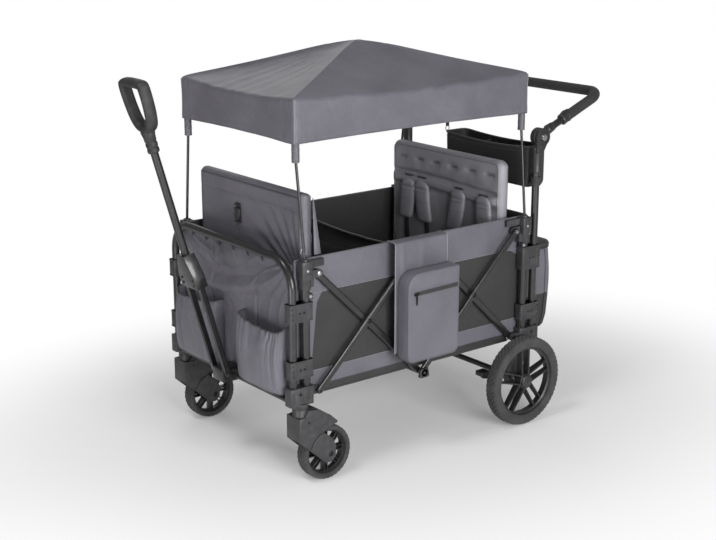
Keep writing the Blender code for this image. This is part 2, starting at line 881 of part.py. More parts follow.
def build_wheels():
    for hand in ("left", "right"):
        body = f"{hand}_caster_wheel"
        place = pivots[body][1]
        thickness = caster_tyre_thickness
        whole = tyre(caster_wheel_radius, caster_wheel_width, thickness, 24, place)
        piece(f"{hand}_caster_tyre", whole, body, "tyre")
        outer = caster_wheel_radius - thickness - gap
        whole = rim(
            outer, 0.008, 0.016, caster_axle_radius, 8, 0.004, 0, 0.020, caster_rim_width, 24, place
        )
        piece(f"{hand}_caster_rim", whole, body, "rim_plastic")
        body = f"{hand}_rear_wheel"
        place = pivots[body][1]
        thickness = rear_tyre_thickness
        whole = tyre(wheel_radius, wheel_width, thickness, 32, place)
        piece(f"{hand}_rear_tyre", whole, body, "tyre")
        outer = wheel_radius - thickness - gap
        whole = rim(outer, 0.010, 0.024, axle_radius, 5, 0.006, 0.026, 0.026, rear_rim_width, 32, place)
        piece(f"{hand}_rear_rim", whole, body, "rim_plastic")


def build_casters():
    for side, hand in ((-1, "left"), (1, "right")):
        body = f"{hand}_caster"
        x, y = -kingpin_reach, side * track
        roof_low = 2 * caster_wheel_radius + caster_tyre_clearance
        head_low = roof_low - 0.0165
        head = turned(
            [
                (caster_head_radius - 0.004, head_low),
                (caster_head_radius, head_low + 0.008),
                (caster_head_radius, head_low + 0.030),
                (caster_head_radius - 0.002, head_low + 0.033),
                (caster_head_radius - 0.002, caster_head_high),
                (kingpin_radius, caster_head_high),
                (kingpin_radius, caster_head_high + kingpin_height),
            ],
            "Z",
            (x, y),
            12,
        )
        inner = caster_wheel_width / 2 + fork_clearance
        outer = inner + fork_plate
        hub_x, hub_z = x + caster_trail, caster_wheel_radius
        front = x - caster_head_radius + 0.0005
        roof = [
            (x - 0.004, caster_head_high - 0.0205),
            (x + 0.010, caster_head_high - 0.0015),
            (x + 0.042, caster_head_high - 0.0045),
            (hub_x + 0.001, roof_low + 0.0295),
            (hub_x + 0.027, roof_low + 0.0055),
            (hub_x + 0.023, roof_low),
            (x + 0.008, roof_low),
        ]
        nose = [
            (front, head_low - 0.013),
            (x + 0.012, head_low),
            (x + 0.012, caster_head_high - 0.0205),
            (front, caster_head_high - 0.0205),
        ]
        plate = [
            (front, caster_head_high - 0.0205),
            (front, head_low - 0.013),
            (hub_x - 0.015, hub_z - 0.025),
            (hub_x + 0.004, hub_z - 0.025),
            (hub_x + 0.019, hub_z - 0.012),
            (hub_x + 0.021, hub_z + 0.018),
            (hub_x + 0.010, hub_z + 0.044),
            (hub_x - 0.026, hub_z + 0.072),
            (hub_x + 0.023, roof_low + 0.0015),
            (hub_x + 0.001, roof_low + 0.0295),
            (x + 0.030, caster_head_high - 0.0155),
        ]
        plates = [
            prism(plate, "Y", *sorted((y + face * inner, y + face * outer))) for face in (-1, 1)
        ]
        end = outer + 0.004
        axle = turned(
            [
                (0.009, y - end),
                (0.009, y - outer + 0.001),
                (caster_axle_radius, y - outer + 0.001),
                (caster_axle_radius, y + outer - 0.001),
                (0.009, y + outer - 0.001),
                (0.009, y + end),
            ],
            "Y",
            (hub_x, hub_z),
            10,
        )
        whole = union(head, prism(roof, "Y", y - outer, y + outer), prism(nose, "Y", y - outer, y + outer))
        piece(f"{hand}_caster_fork", union(whole, *plates, axle), body, "dark_plastic")


def build_rear_axle():
    arm_face = track + bracket_half_width - 0.001
    inner = wheel_track - rear_rim_width / 2 - gap
    outer = wheel_track + rear_rim_width / 2 + gap
    half = [
        (axle_radius, 0),
        (axle_radius, arm_face + gap),
        (axle_shoulder, arm_face + gap),
        (axle_shoulder, inner),
        (axle_radius, inner),
        (axle_radius, outer),
        (axle_cap, outer),
        (axle_cap - 0.002, outer + 0.007),
    ]
    profile = [(r, -y) for r, y in half[:0:-1]] + half[1:]
    centre = (axle_reach, wheel_radius)
    piece("rear_axle", turned(profile, "Y", centre, 12), "rear_frame", "steel")
    end = track - 0.010 - gap
    tube = rod("Y", centre, brake_tube_radius, -end, end)
    levers = []
    for side in (-1, 1):
        eye = rod("Y", centre, 0.015, *at_side(side, end - 0.020, end), 12)
        arm = prism(
            [
                (axle_reach - 0.004, wheel_radius + 0.013),
                (axle_reach - brake_reach + 0.010, wheel_radius + 0.028),
                (axle_reach - brake_reach, wheel_radius + 0.021),
                (axle_reach - brake_reach + 0.006, wheel_radius + 0.006),
                (axle_reach - 0.004, wheel_radius - 0.010),
            ],
            "Y",
            *at_side(side, end - 0.016, end - 0.004),
        )
        y = at_side(side, end - 0.034, end)
        low_x = axle_reach - brake_reach - 0.004
        low, high = (low_x, y[0], wheel_radius + 0.014), (low_x + 0.036, y[1], wheel_radius + 0.027)
        pad = rounded_box(low, high, 0.004, steps=1)
        levers += [eye, arm, pad]
    whole = cut(union(tube, *levers), bore("Y", centre, axle_radius, -end - 0.01, end + 0.01))
    piece("brake_pedal_bar", whole, "brake", "dark_plastic")


def along_pull(place, across=0.0, depth=0.0):
    """A point from its place along the pull handle, sideways and in front of its middle line."""
    forward = Vector((-math.cos(pull_lean), 0, -math.sin(pull_lean)))
    return pull_pivot + pull_direction * place + Vector((0, across, 0)) + forward * depth


def pull_slab(outline, front, back):
    """An outline of (sideways, along) points given its depth square to the pull handle."""
    return loops_to_solid([[along_pull(w, y, depth) for y, w in outline] for depth in (front, back)])


def build_pull_handle():
    x, z = -pull_pivot_reach, pull_pivot_height
    outer = pull_bar_spacing + pull_bar_width / 2
    bars = []
    for side in (-1, 1):
        y = at_side(side, pull_bar_spacing - pull_bar_width / 2, outer)
        tip = along_pull(pull_bar_length)
        bar = prism(stadium((x, z), (tip.x, tip.z), pull_bar_depth / 2), "Y", *y)
        bars.append(cut(bar, bore("Y", (x, z), pin_radius, y[0] - 0.01, y[1] + 0.01, 8)))
    low, high = coupling_start, coupling_end
    half = 0.0175
    outline = [
        (-outer - 0.002, low),
        (outer + 0.002, low),
        (outer + 0.002, low + 0.034),
        (0.018, high),
        (-0.018, high),
        (-outer - 0.002, low + 0.034),
    ]
    coupling = pull_slab(outline, half, -half)
    line = [along_pull(low - 0.02), along_pull(high + 0.02)]
    fork = union(cut(coupling, swept(line, pull_tube_radius + gap)), *bars)
    piece("pull_fork", fork, "pull_fork", "black_paint")
    tube = swept([along_pull(low + 0.006), along_pull(pull_tube_end)], pull_tube_radius)
    base = pull_tube_end
    top = base + grip_length
    wide = grip_half_width
    outer_line = [
        (-0.018, base),
        (0.018, base),
        (wide - 0.018, base + 0.030),
        (wide - 0.006, base + 0.085),
        (wide, top - 0.016),
        (wide - 0.008, top),
        (-wide + 0.008, top),
        (-wide, top - 0.016),
        (-wide + 0.006, base + 0.085),
        (-wide + 0.018, base + 0.030),
    ]
    room = wide - grip_bar
    inner_line = [
        (-room + 0.020, base + 0.032),
        (room - 0.020, base + 0.032),
        (room - 0.002, base + 0.085),
        (room + 0.004, top - grip_bar - 0.006),
        (room - 0.002, top - grip_bar),
        (-room + 0.002, top - grip_bar),
        (-room - 0.004, top - grip_bar - 0.006),
        (-room + 0.002, base + 0.085),
    ]
    half = grip_depth / 2
    grip = cut(pull_slab(outer_line, half, -half), pull_slab(inner_line, grip_depth, -grip_depth))
    neck = swept([along_pull(neck_start), along_pull(base + 0.012)], 0.0165, 12)
    piece("pull_grip", union(grip, neck, tube), "pull_grip", "dark_plastic")


def build_push_handle():
    hub = (push_hub_reach, push_hub_height)
    split = track + push_split
    lane = split - 0.0008 - push_tube_radius

    def on_arm(place, side):
        return Vector(
            (
                push_hub_reach + place * math.cos(push_rise),
                side * lane,
                push_hub_height + place * math.sin(push_rise),
            )
        )

    parts = []
    length = math.hypot(push_reach - push_hub_reach, push_height - push_hub_height)
    start = push_hub_radius - 0.004
    line = rounded_path([on_arm(start, -1), on_arm(length, -1), on_arm(length, 1), on_arm(start, 1)], push_bend, 4)
    collar_end = push_collar_place + push_collar_length
    for side in (-1, 1):
        knuckle = rod("Y", hub, push_hub_radius, *at_side(side, track - 0.016, split - gap), 16)
        parts.append(cut(knuckle, bore("Y", hub, 0.0055, *at_side(side, track - 0.05, track + 0.05), 10)))
        parts.append(swept([on_arm(push_collar_place, side), on_arm(collar_end, side)], 0.0175, 12))
    arms = union(swept(line, push_tube_radius), *parts)
    piece("push_arms", arms, "push_handle", "black_paint")
    foam = rounded_path(
        [on_arm(collar_end + gap, -1), on_arm(length, -1), on_arm(length, 1), on_arm(collar_end + gap, 1)],
        push_bend,
        4,
    )
    grip = swept(foam, push_foam_radius, bore=push_tube_radius + gap)
    piece("push_grip", grip, "push_handle", "foam")


def build_floor():
    for end, name in ((-1, "front"), (1, "rear")):
        hinge = (end * board_hinge_reach, board_hinge_height)
        half = floor_board_thickness / 2
        tip = board_hinge_reach - floor_board_length
        x = sorted((end * tip, end * (board_hinge_reach - 0.006)))
        side = wall_inner - board_side_clearance
        board = box((x[0], -side, hinge[1] - half), (x[1], side, hinge[1] + half))
        x = sorted((end * tip, end * (board_hinge_reach - 0.012)))
        edge = wall_inner - mat_side_clearance
        mat = box((x[0], -edge, hinge[1] + half - 0.0005), (x[1], edge, hinge[1] + half + mat_thickness))
        knuckle = rod("Y", hinge, hinge_tube_radius + 0.0035, -side, side)
        reach = inner_layer[0] - 2 * gap
        tube = rod("Y", hinge, hinge_tube_radius, -reach, reach, 10)
        piece(f"{name}_floor_board", union(board, mat, knuckle, tube), f"{name}_board", "board")


def build_tub():
    inner = wall_inner
    reach = tub_reach - wall_thickness
    walls = []
    for side in (-1, 1):
        y = at_side(side, inner, wall_outer)
        walls.append(box((-reach + soft_gap, y[0], tub_low), (tub_reach, y[1], tub_top)))
        walls.append(box((-cloth_floor_reach, y[0], cloth_floor), (cloth_floor_reach, y[1], tub_low + 0.01)))
    walls.append(box((reach, -wall_outer + 0.0001, end_wall_low), (tub_reach, wall_outer - 0.0001, tub_top)))
    walls.append(
        box(
            (-cloth_floor_reach, -inner - 0.001, cloth_floor),
            (cloth_floor_reach, inner + 0.001, cloth_floor + cloth),
        )
    )
    piece("fabric_tub", union(*walls), "front_posts", "grey_fabric")
    panel = box((-tub_reach, -wall_outer, end_wall_low), (-reach, wall_outer, tub_top - 0.006))
    piece("front_pocket_panel", panel, "front_posts", "grey_fabric")
    for side, hand in ((-1, "left"), (1, "right")):
        y = at_side(side, pocket_inner, pocket_outer)
        back = -tub_reach - soft_gap
        pocket = box((-pocket_front, y[0], pocket_low), (back, y[1], pocket_high))
        room = box(
            (-pocket_front + cloth, y[0] + cloth, pocket_low + cloth),
            (back + 0.02, y[1] - cloth, pocket_high + 0.02),
        )
        piece(f"{hand}_front_pocket", cut(pocket, room), "front_posts", "grey_fabric")


def cushion(length, height, thickness, columns, rows, corner=0.0, tufts=(), channels=()):
    """A crowned pad in its own plane: (along, up, depth) points, thickest in the middle, thin at the seam."""
    shape = bmesh.new()

    def place(u, v):
        """A point of the pad's plane, with its upper corners rounded off."""
        x = (u - 0.5) * length
        z = v * height
        near_side = max(0.0, abs(2 * u - 1) - 0.75) / 0.25
        return x, z - corner * near_side**2 * v**3

    def swell(u, v):
        edge = max(0.0, (1 - abs(2 * u - 1) ** 5) * (1 - abs(2 * v - 1) ** 5))
        full = thickness / 2 * edge**0.4
        x, z = place(u, v)
        for tuft_x, tuft_z in tufts:
            full -= thickness * 0.16 * math.exp(-(((x - tuft_x) / 0.022) ** 2 + ((z - tuft_z) / 0.014) ** 2))
        for level in channels:
            full -= thickness * 0.14 * math.exp(-(((z - level) / 0.012) ** 2)) * min(1, edge * 3)
        return max(full, 0.0)

    grid = {}
    for face in (1, -1):
        for i in range(columns + 1):
            for j in range(rows + 1):
                border = i in (0, columns) or j in (0, rows)
                if border and face < 0:
                    grid[face, i, j] = grid[1, i, j]
                    continue
                u, v = i / columns, j / rows
                x, z = place(u, v)
                grid[face, i, j] = shape.verts.new((x, z, 0 if border else face * (swell(u, v) + seam_step)))
    for face in (1, -1):
        for i in range(columns):
            for j in range(rows):
                corners = [grid[face, a, b] for a, b in ((i, j), (i + 1, j), (i + 1, j + 1), (i, j + 1))]
                flat_faces(shape, corners if face > 0 else corners[::-1])
    return shape


def build_seats():
    reach = wall_inner - soft_gap
    thickness = seatback_outer - seatback_inner - 2 * seam_step
    height = seatback_high - seatback_low
    middle = (seatback_outer + seatback_inner) / 2
    tufts = [(x, height - 0.048) for x in (-0.200, -0.083, 0.048, 0.161)]
    for end, name in ((-1, "front"), (1, "rear")):
        pad = cushion(2 * seatback_half_width, height, thickness, 14, 11, 0.022, tufts, (height - 0.100,))
        for vert in pad.verts:
            along, up, depth = vert.co
            vert.co = (end * (middle - depth), along, seatback_low + up)
        hinge = (pivots[f"{name}_seatback"][1][0], pivots[f"{name}_seatback"][1][2])
        solids = [rod("Y", hinge, hinge_tube_radius, -reach, reach, 10)]
        for y in (-0.200, -0.068, 0.085, 0.167):
            half = harness_pad_width / 2
            x = sorted((end * (seatback_inner - harness_pad_thickness), end * (seatback_inner + 0.008)))
            low, high = (x[0], y - half, 0.560), (x[1], y + half, 0.700)
            solids.append(rounded_box(low, high, 0.012, "X", 2))
        piece(f"{name}_seatback", union(pad, *solids), f"{name}_seatback", "grey_fabric", 60)
        seat = cushion(2 * bench_half_width, bench_depth, bench_thickness - 2 * seam_step, 10, 5)
        for vert in seat.verts:
            along, up, depth = vert.co
            vert.co = (end * (bench_hinge_reach - up), along, bench_height + depth)
        tube = rod("Y", (end * bench_hinge_reach, bench_height), hinge_tube_radius, -reach, reach, 10)
        piece(f"{name}_seat_bench", union(seat, tube), f"{name}_bench", "black_fabric", 60)


def roof_height(x, y):
    """The roof's outer surface: four cloth panels that dip between their hips and sag at the eaves."""
    u, v = abs(x) / canopy_half_length, abs(y) / canopy_half_width
    out = max(u, v)
    rise = canopy_peak - canopy_eave
    across = min(u, v) / out if out > 0 else 1
    dip = 0.10 * rise * math.sin(math.pi * min(out, 1.0)) * (1 - across**2)
    sag = 0.010 * (1 - across**2) * out**3
    return canopy_peak - rise * out**0.92 - dip - sag


def build_canopy():
    columns, rows = 12, 8
    shape = bmesh.new()
    edge = [(i, 0) for i in range(columns)] + [(columns, j) for j in range(rows)]
    edge += [(i, rows) for i in range(columns, 0, -1)] + [(0, j) for j in range(rows, 0, -1)]
    surfaces = []
    for inset in (0.0, cloth):
        grid = {}
        for i in range(columns + 1):
            for j in range(rows + 1):
                u, v = 2 * i / columns - 1, 2 * j / rows - 1
                x, y = u * (canopy_half_length - inset), v * (canopy_half_width - inset)
                z = roof_height(u * canopy_half_length, v * canopy_half_width) - inset
                grid[i, j] = shape.verts.new((x, y, z))
        hem = []
        for i, j in edge:
            top = grid[i, j].co
            across = min(abs(2 * i / columns - 1), abs(2 * j / rows - 1))
            hem.append(shape.verts.new((top.x, top.y, valance_low + 0.006 * (1 - across**2))))
        surfaces.append((grid, hem))
    count = len(edge)
    for (grid, hem), outward in zip(surfaces, (True, False)):
        faces = [
            [grid[i, j], grid[i + 1, j], grid[i + 1, j + 1], grid[i, j + 1]]
            for i in range(columns)
            for j in range(rows)
        ]
        for k in range(count):
            n = (k + 1) % count
            faces.append([hem[k], hem[n], grid[edge[n]], grid[edge[k]]])
        for face in faces:
            flat_faces(shape, face if outward else face[::-1])
    outer, inner = surfaces[0][1], surfaces[1][1]
    for k in range(count):
        n = (k + 1) % count
        flat_faces(shape, (outer[n], outer[k], inner[k], inner[n]))
    piece("canopy", shape, "front_posts", "grey_fabric", 60)


def build_bags():
    front = rear_bag_front
    profile = [
        (front, bag_low),
        (bag_rear - 0.022, bag_low),
        (bag_rear - 0.006, bag_low + 0.040),
        (bag_rear, bag_low + 0.130),
        (bag_rear - 0.006, bag_high - 0.020),
        (bag_rear - 0.020, bag_high),
        (front, bag_high),
    ]
    bag = prism(profile, "Y", -bag_half_width, bag_half_width)
    room = box(
        (front + bag_wall, -bag_half_width + bag_wall, bag_low + bag_wall),
        (bag_rear - 0.022 - bag_wall, bag_half_width - bag_wall, bag_high - bag_wall),
    )
    zip_line = bag_rear - 0.040
    zip_half = bag_half_width - 0.030
    slit = box((zip_line, -zip_half, bag_high - 0.02), (zip_line + zip_gap, zip_half, bag_high + 0.02))
    piece("rear_bag", cut(bag, room, slit), "rear_frame", "grey_fabric")

    outer = outer_layer[1] + gap + pin_head_height + 0.0015
    face = -(outer + strap_thickness)
    top = tub_top + 0.0035
    inner = -(wall_inner - soft_gap)
    leg = divider_high - 0.012
    outline = [
        (face, saddle_low + 0.02),
        (-outer, saddle_low + 0.02),
        (-outer, top),
        (inner, top),
        (inner, leg),
        (inner + strap_thickness, leg),
        (inner + strap_thickness, top + strap_thickness),
        (face, top + strap_thickness),
    ]
    strap = prism(outline, "X", strap_front, strap_rear)
    corners = [
        (saddle_front, saddle_low),
        (saddle_rear, saddle_low),
        (saddle_rear, saddle_high),
        (saddle_front, saddle_high),
    ]
    middle = Vector(((saddle_front + saddle_rear) / 2, (saddle_low + saddle_high) / 2))
    half = Vector(((saddle_rear - saddle_front) / 2, (saddle_high - saddle_low) / 2))
    back, far = face + 0.001, face - saddle_depth
    rings = []
    for y, inset in ((back, 0.004), (back - 0.011, 0.0), (far + 0.012, 0.0), (far, 0.008)):
        ring = []
        for point in rounded_outline(corners, 0.022, 3):
            offset = Vector(point) - middle
            x = middle.x + offset.x * (half.x - inset) / half.x
            ring.append((x, y, middle.y + offset.y * (half.y - inset) / half.y))
        rings.append(ring)
    reach = wall_inner - soft_gap
    divider = rounded_box((-0.012, -reach, divider_low), (0.012, reach, divider_high), 0.005, "Y")
    whole = union(strap, divider, loops_to_solid(rings))
    room = box(
        (saddle_front + 0.012, far + 0.006, saddle_low + 0.012),
        (saddle_rear - 0.012, back - 0.006, saddle_high - 0.012),
    )
    zip_line = (back + far) / 2
    slit = box(
        (saddle_front + 0.030, zip_line, saddle_high - 0.03),
        (saddle_rear - 0.030, zip_line + zip_gap, saddle_high + 0.02),
    )
    piece("side_pocket", cut(whole, room, slit), "middle_strap", "grey_fabric", 50)

    half = organizer_half_width
    case = rounded_box(
        (front, -half, organizer_low), (organizer_rear, organizer_far, organizer_high), 0.012, "Y", 3
    )
    room = box(
        (front + cloth, -half + cloth, organizer_low + 0.012),
        (organizer_rear - cloth, organizer_far - cloth, organizer_high + 0.02),
    )
    loops = []
    # The bag hangs nearer the near tube, so the strap to the far tube is the longer one
    height = organizer_low + 0.012
    for side, edge in ((-1, half), (1, organizer_far)):
        ring = rod("Z", (frame_reach, side * track), frame_radius + 0.0025, height, height + 0.028)
        y = at_side(side, edge - 0.002, track - frame_radius + 0.001)
        tab = box((frame_reach - 0.010, y[0], height), (frame_reach + 0.010, y[1], height + 0.028))
        hole = rod("Z", (frame_reach, side * track), frame_radius + gap, height - 0.01, height + 0.05)
        loops.append(cut(union(ring, tab), hole))
    piece("organizer", union(cut(case, room), *loops), "rear_frame", "black_fabric")


def centre_on_floor():
    """Put the origin under the middle of the whole wagon's box."""
    bpy.context.view_layer.update()
    corners = [
        item.matrix_world @ Vector(corner)
        for item in bpy.data.objects
        if item.type == "MESH"
        for corner in item.bound_box
    ]
    low = [min(c[i] for c in corners) for i in range(3)]
    high = [max(c[i] for c in corners) for i in range(3)]
    shift = Vector((-(low[0] + high[0]) / 2, -(low[1] + high[1]) / 2, -low[2]))
    empties["front_frame"].location = shift
    bpy.context.view_layer.update()
    return shift


build_scissors()
build_corners()
build_end_frames()
build_wheels()
build_casters()
build_rear_axle()
build_pull_handle()
build_push_handle()
build_floor()
build_tub()
build_seats()
build_canopy()
build_bags()
origin_shift = centre_on_floor()
print("nodes", sum(item.type == "MESH" for item in bpy.data.objects), "shift", tuple(origin_shift))
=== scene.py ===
from math import atan2, copysign, cos, exp, hypot, pi, radians, sin, sqrt, tan

import bmesh
import bpy
import numpy as np
from mathutils import Matrix, Vector, noise


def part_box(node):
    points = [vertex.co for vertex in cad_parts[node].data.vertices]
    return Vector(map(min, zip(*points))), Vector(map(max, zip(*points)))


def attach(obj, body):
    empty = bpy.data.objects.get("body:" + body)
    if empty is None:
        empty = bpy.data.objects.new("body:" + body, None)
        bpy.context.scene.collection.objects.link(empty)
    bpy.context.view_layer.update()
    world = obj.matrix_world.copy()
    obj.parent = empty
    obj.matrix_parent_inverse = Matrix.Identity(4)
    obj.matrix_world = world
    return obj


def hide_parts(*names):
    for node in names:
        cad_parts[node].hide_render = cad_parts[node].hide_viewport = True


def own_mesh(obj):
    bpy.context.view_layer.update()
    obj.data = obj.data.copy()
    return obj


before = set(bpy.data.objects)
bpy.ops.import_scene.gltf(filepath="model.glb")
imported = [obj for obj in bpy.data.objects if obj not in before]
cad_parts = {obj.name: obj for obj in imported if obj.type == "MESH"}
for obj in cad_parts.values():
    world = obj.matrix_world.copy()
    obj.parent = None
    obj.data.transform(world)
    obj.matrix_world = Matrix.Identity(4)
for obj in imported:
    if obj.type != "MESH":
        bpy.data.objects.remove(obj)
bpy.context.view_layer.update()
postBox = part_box("left_front_post")
shiftX = (postBox[0].x + postBox[1].x) / 2 + 0.414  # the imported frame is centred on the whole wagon
print("frame loaded, shift", round(shiftX, 6))

# Places shared by several pieces, in metres from the middle of the wheelbase and the floor
place = {
    "track": 0.3,
    "post": 0.414,
    "frame": 0.457,
    "jointX": 0.373,
    "jointLow": 0.266,
    "jointHigh": 0.603,
    "middleHigh": 0.6315,
    "middleLow": 0.2375,
    "wallOut": 0.283,
}
sides = ((-1, "left"), (1, "right"))
ends = ((-1, "front"), (1, "rear"))
corners = [
    (end, endName, side, f"{hand}{endName.capitalize()}", f"{hand}_{endName}")
    for end, endName in ends
    for side, hand in sides
]


# ---- colour and node helpers


def linearColour(hexText):
    values = [int(hexText[i : i + 2], 16) / 255 for i in (1, 3, 5)]
    return (*[v / 12.92 if v <= 0.04045 else ((v + 0.055) / 1.055) ** 2.4 for v in values], 1.0)


def plug(tree, socket, value):
    if isinstance(value, bpy.types.NodeSocket):
        tree.links.new(value, socket)
    else:
        socket.default_value = value


def addNode(tree, kind, settings=None, **inputs):
    made = tree.nodes.new(kind)
    for key, value in (settings or {}).items():
        setattr(made, key, value)
    for key, value in inputs.items():
        plug(tree, made.inputs[int(key[1:])] if key[1:].isdigit() else made.inputs[key.replace("_", " ")], value)
    return made


def newMaterial(name, look):
    made = bpy.data.materials.new(name)
    made.use_nodes = True
    tree = made.node_tree
    shader = tree.nodes["Principled BSDF"]
    look = dict({"metallic": 0.0, "ior": 1.5, "sheen": 0.0, "coat": 0.0}, **look)
    for key, socket in (
        ("roughness", "Roughness"), ("metallic", "Metallic"), ("ior", "IOR"), ("sheen", "Sheen Weight"),
        ("coat", "Coat Weight"),
    ):
        shader.inputs[socket].default_value = look[key]
    shader.inputs["Sheen Roughness"].default_value = 0.5
    return made, tree, shader


def mixColours(tree, share, one, two):
    made = addNode(tree, "ShaderNodeMix", {"data_type": "RGBA"}, _0=share)
    for slot, colour in ((6, one), (7, two)):
        plug(tree, made.inputs[slot], linearColour(colour) if isinstance(colour, str) else colour)
    return made.outputs[2]


def spread(tree, value, low, high, outLow=0.0, outHigh=1.0):
    made = addNode(tree, "ShaderNodeMapRange", {"clamp": True}, _0=value, _1=low, _2=high, _3=outLow, _4=outHigh)
    return made.outputs[0]


def combineMath(tree, operation, one, two=0.0):
    return addNode(tree, "ShaderNodeMath", {"operation": operation}, _0=one, _1=two).outputs[0]


def noiseOf(tree, where, scale, detail, **more):
    return addNode(tree, "ShaderNodeTexNoise", None, Vector=where, Scale=scale, Detail=detail, **more).outputs["Fac"]


def bumpOf(tree, height, strength, distance):
    return addNode(tree, "ShaderNodeBump", None, Height=height, Strength=strength, Distance=distance)


# ---- materials, each named for the real one and how it was made


# Woven polyester: a plain Oxford weave, real threads 0.45 mm apart, drawn at 1.5 mm so that they show
def wovenPolyester(name, look):
    made, tree, shader = newMaterial(name, look)
    uv = addNode(tree, "ShaderNodeUVMap").outputs[0]
    spot = addNode(tree, "ShaderNodeTexCoord").outputs["Object"]
    scale = pi / 10 / (look["thread"] / 1000)  # the band wave repeats every pi / 10 units at scale 1
    warp, weft = (
        addNode(tree, "ShaderNodeTexWave", {"bands_direction": way}, Vector=uv, Scale=scale).outputs["Fac"]
        for way in "XY"
    )
    weave = combineMath(tree, "MULTIPLY", warp, weft)
    slub = noiseOf(tree, uv, 420.0, 2.0)  # 2.4 mm
    cloud = noiseOf(tree, spot, 9.0, 3.0)  # 110 mm
    crease = noiseOf(tree, spot, 26.0, 4.0, Distortion=1.2)  # 40 mm
    base = mixColours(tree, spread(tree, cloud, 0.3, 0.7), look["dark"], look["light"])
    base = mixColours(tree, spread(tree, slub, 0.35, 0.75, 0, look["melange"]), base, look["thread2"])
    # the gaps between the threads are darkened towards the shade colour: painted shade in the weave's hollows
    base = mixColours(tree, spread(tree, weave, 0.0, 0.5, look["gap"], 0.0), base, look["shade"])
    rough = spread(tree, slub, 0.3, 0.7, look["roughness"] - 0.05, look["roughness"] + 0.08)
    fine = bumpOf(tree, weave, look["weaveBump"], 0.0004)
    folds = bumpOf(tree, crease, look["creaseBump"], 0.006)
    tree.links.new(fine.outputs[0], folds.inputs["Normal"])
    for socket, value in (("Base Color", base), ("Roughness", rough), ("Normal", folds.outputs[0])):
        tree.links.new(value, shader.inputs[socket])
    return made


slateLook = {
    "dark": "#5d5b63",
    "light": "#6e6c75",
    "thread2": "#85838c",
    # shade: the painted shade between the threads
    "shade": "#434148",
    "thread": 1.5,
    "gap": 0.35,
    "melange": 0.35,
    "roughness": 0.38,
    "sheen": 0.05,
    "weaveBump": 0.35,
    "creaseBump": 0.3,
}
blackLook = dict(
    slateLook, dark="#2a2a2b", light="#343435", thread2="#454546", shade="#1b1b1c", roughness=0.6, sheen=0.08
)
liningLook = dict(blackLook, dark="#303031", light="#3a3a3b", thread2="#4b4b4c", creaseBump=0.45)
sleeveLook = dict(slateLook, dark="#56565b", light="#626268", creaseBump=0.1)
padLook = dict(
    slateLook, dark="#96949b", light="#a4a2a9", thread2="#b7b5bc", thread=2.0, melange=0.55, weaveBump=0.5,
    creaseBump=0.2,
)
bindingLook = dict(slateLook, dark="#3a3a3c", light="#444446", thread2="#555557", thread=2.2, creaseBump=0.0)
pipingLook = dict(slateLook, dark="#7e7d84", light="#8b8a91", thread2="#9b9aa1", thread=1.8, creaseBump=0.0)
webbingLook = dict(blackLook, dark="#262627", light="#303031", thread=2.4, weaveBump=0.8, creaseBump=0.0)
slateCloth = wovenPolyester("SlateOxfordPolyester", slateLook)
blackCloth = wovenPolyester("BlackOxfordPolyester", blackLook)
liningCloth = wovenPolyester("BlackLiningTaffeta", liningLook)
sleeveCloth = wovenPolyester("SlateSleevePolyester", sleeveLook)
padCloth = wovenPolyester("MelangePadPolyester", padLook)
bindingTape = wovenPolyester("WovenBindingTape", bindingLook)
pipingCord = wovenPolyester("LightPipingCord", pipingLook)
webbing = wovenPolyester("WovenPolypropyleneWebbing", webbingLook)


# Polyester net: hexagon holes about 3 mm apart, shown as dark pits between knitted threads
def knittedNet(name, look):
    made, tree, shader = newMaterial(name, look)
    uv = addNode(tree, "ShaderNodeUVMap").outputs[0]
    kind = {"feature": "DISTANCE_TO_EDGE"}
    cells = addNode(tree, "ShaderNodeTexVoronoi", kind, Vector=uv, Scale=look["cells"], Randomness=0.15).outputs[0]
    hole = spread(tree, cells, 0.06, 0.2)
    tree.links.new(mixColours(tree, hole, look["yarn"], look["hole"]), shader.inputs["Base Color"])
    height = combineMath(tree, "SUBTRACT", 1.0, hole)
    tree.links.new(bumpOf(tree, height, 0.6, 0.0006).outputs[0], shader.inputs["Normal"])
    return made


netLook = {"cells": 330.0, "yarn": "#3a3a3b", "hole": "#151516", "roughness": 0.7, "sheen": 0.1}
blackNet = knittedNet("KnittedBlackNet", netLook)


# A hard or foamed finish: broad wear shifts its colour and roughness, and a fine grain gives the bump
def wornFinish(name, look):
    made, tree, shader = newMaterial(name, look)
    spot = addNode(tree, "ShaderNodeTexCoord").outputs["Object"]
    wear = noiseOf(tree, spot, *look["wear"])
    base = mixColours(tree, spread(tree, wear, *look["share"]), look["new"], look["worn"])
    tree.links.new(base, shader.inputs["Base Color"])
    if "coatRough" in look:
        shader.inputs["Coat Roughness"].default_value = look["coatRough"]
    if "change" in look:
        low, high, less, more = look["change"]
        rough = spread(tree, wear, low, high, look["roughness"] + less, look["roughness"] + more)
        tree.links.new(rough, shader.inputs["Roughness"])
    grain = noiseOf(tree, spot, *look["grain"]) if "grain" in look else wear
    if "pits" in look:
        grain = addNode(tree, "ShaderNodeTexVoronoi", None, Vector=spot, Scale=look["pits"]).outputs["Distance"]
    tree.links.new(bumpOf(tree, grain, *look["bump"]).outputs[0], shader.inputs["Normal"])
    return made


# Powder-coated steel: satin black with a fine orange peel of 1.4 mm, which breaks the tubes' long highlights
paintLook = {
    "new": "#1a1a1b",
    "worn": "#272728",
    "roughness": 0.34,
    "coat": 0.42,
    "coatRough": 0.14,
    "wear": (60.0, 5.0),
    "share": (0.5, 0.8),
    "change": (0.3, 0.8, -0.06, 0.12),
    "grain": (700.0, 2.0),
    "bump": (0.18, 0.0003),
}
blackPaint = wornFinish("SatinBlackPowderCoat", paintLook)
# A lighter copy of the black powder coat, used only on raised beads: its lighter tone is a painted highlight along
# their edges
highlightGreyPaint = wornFinish("PaintedHighlightPowderCoat", dict(paintLook, new="#2a2a2b", worn="#3c3c3d", roughness=0.42))

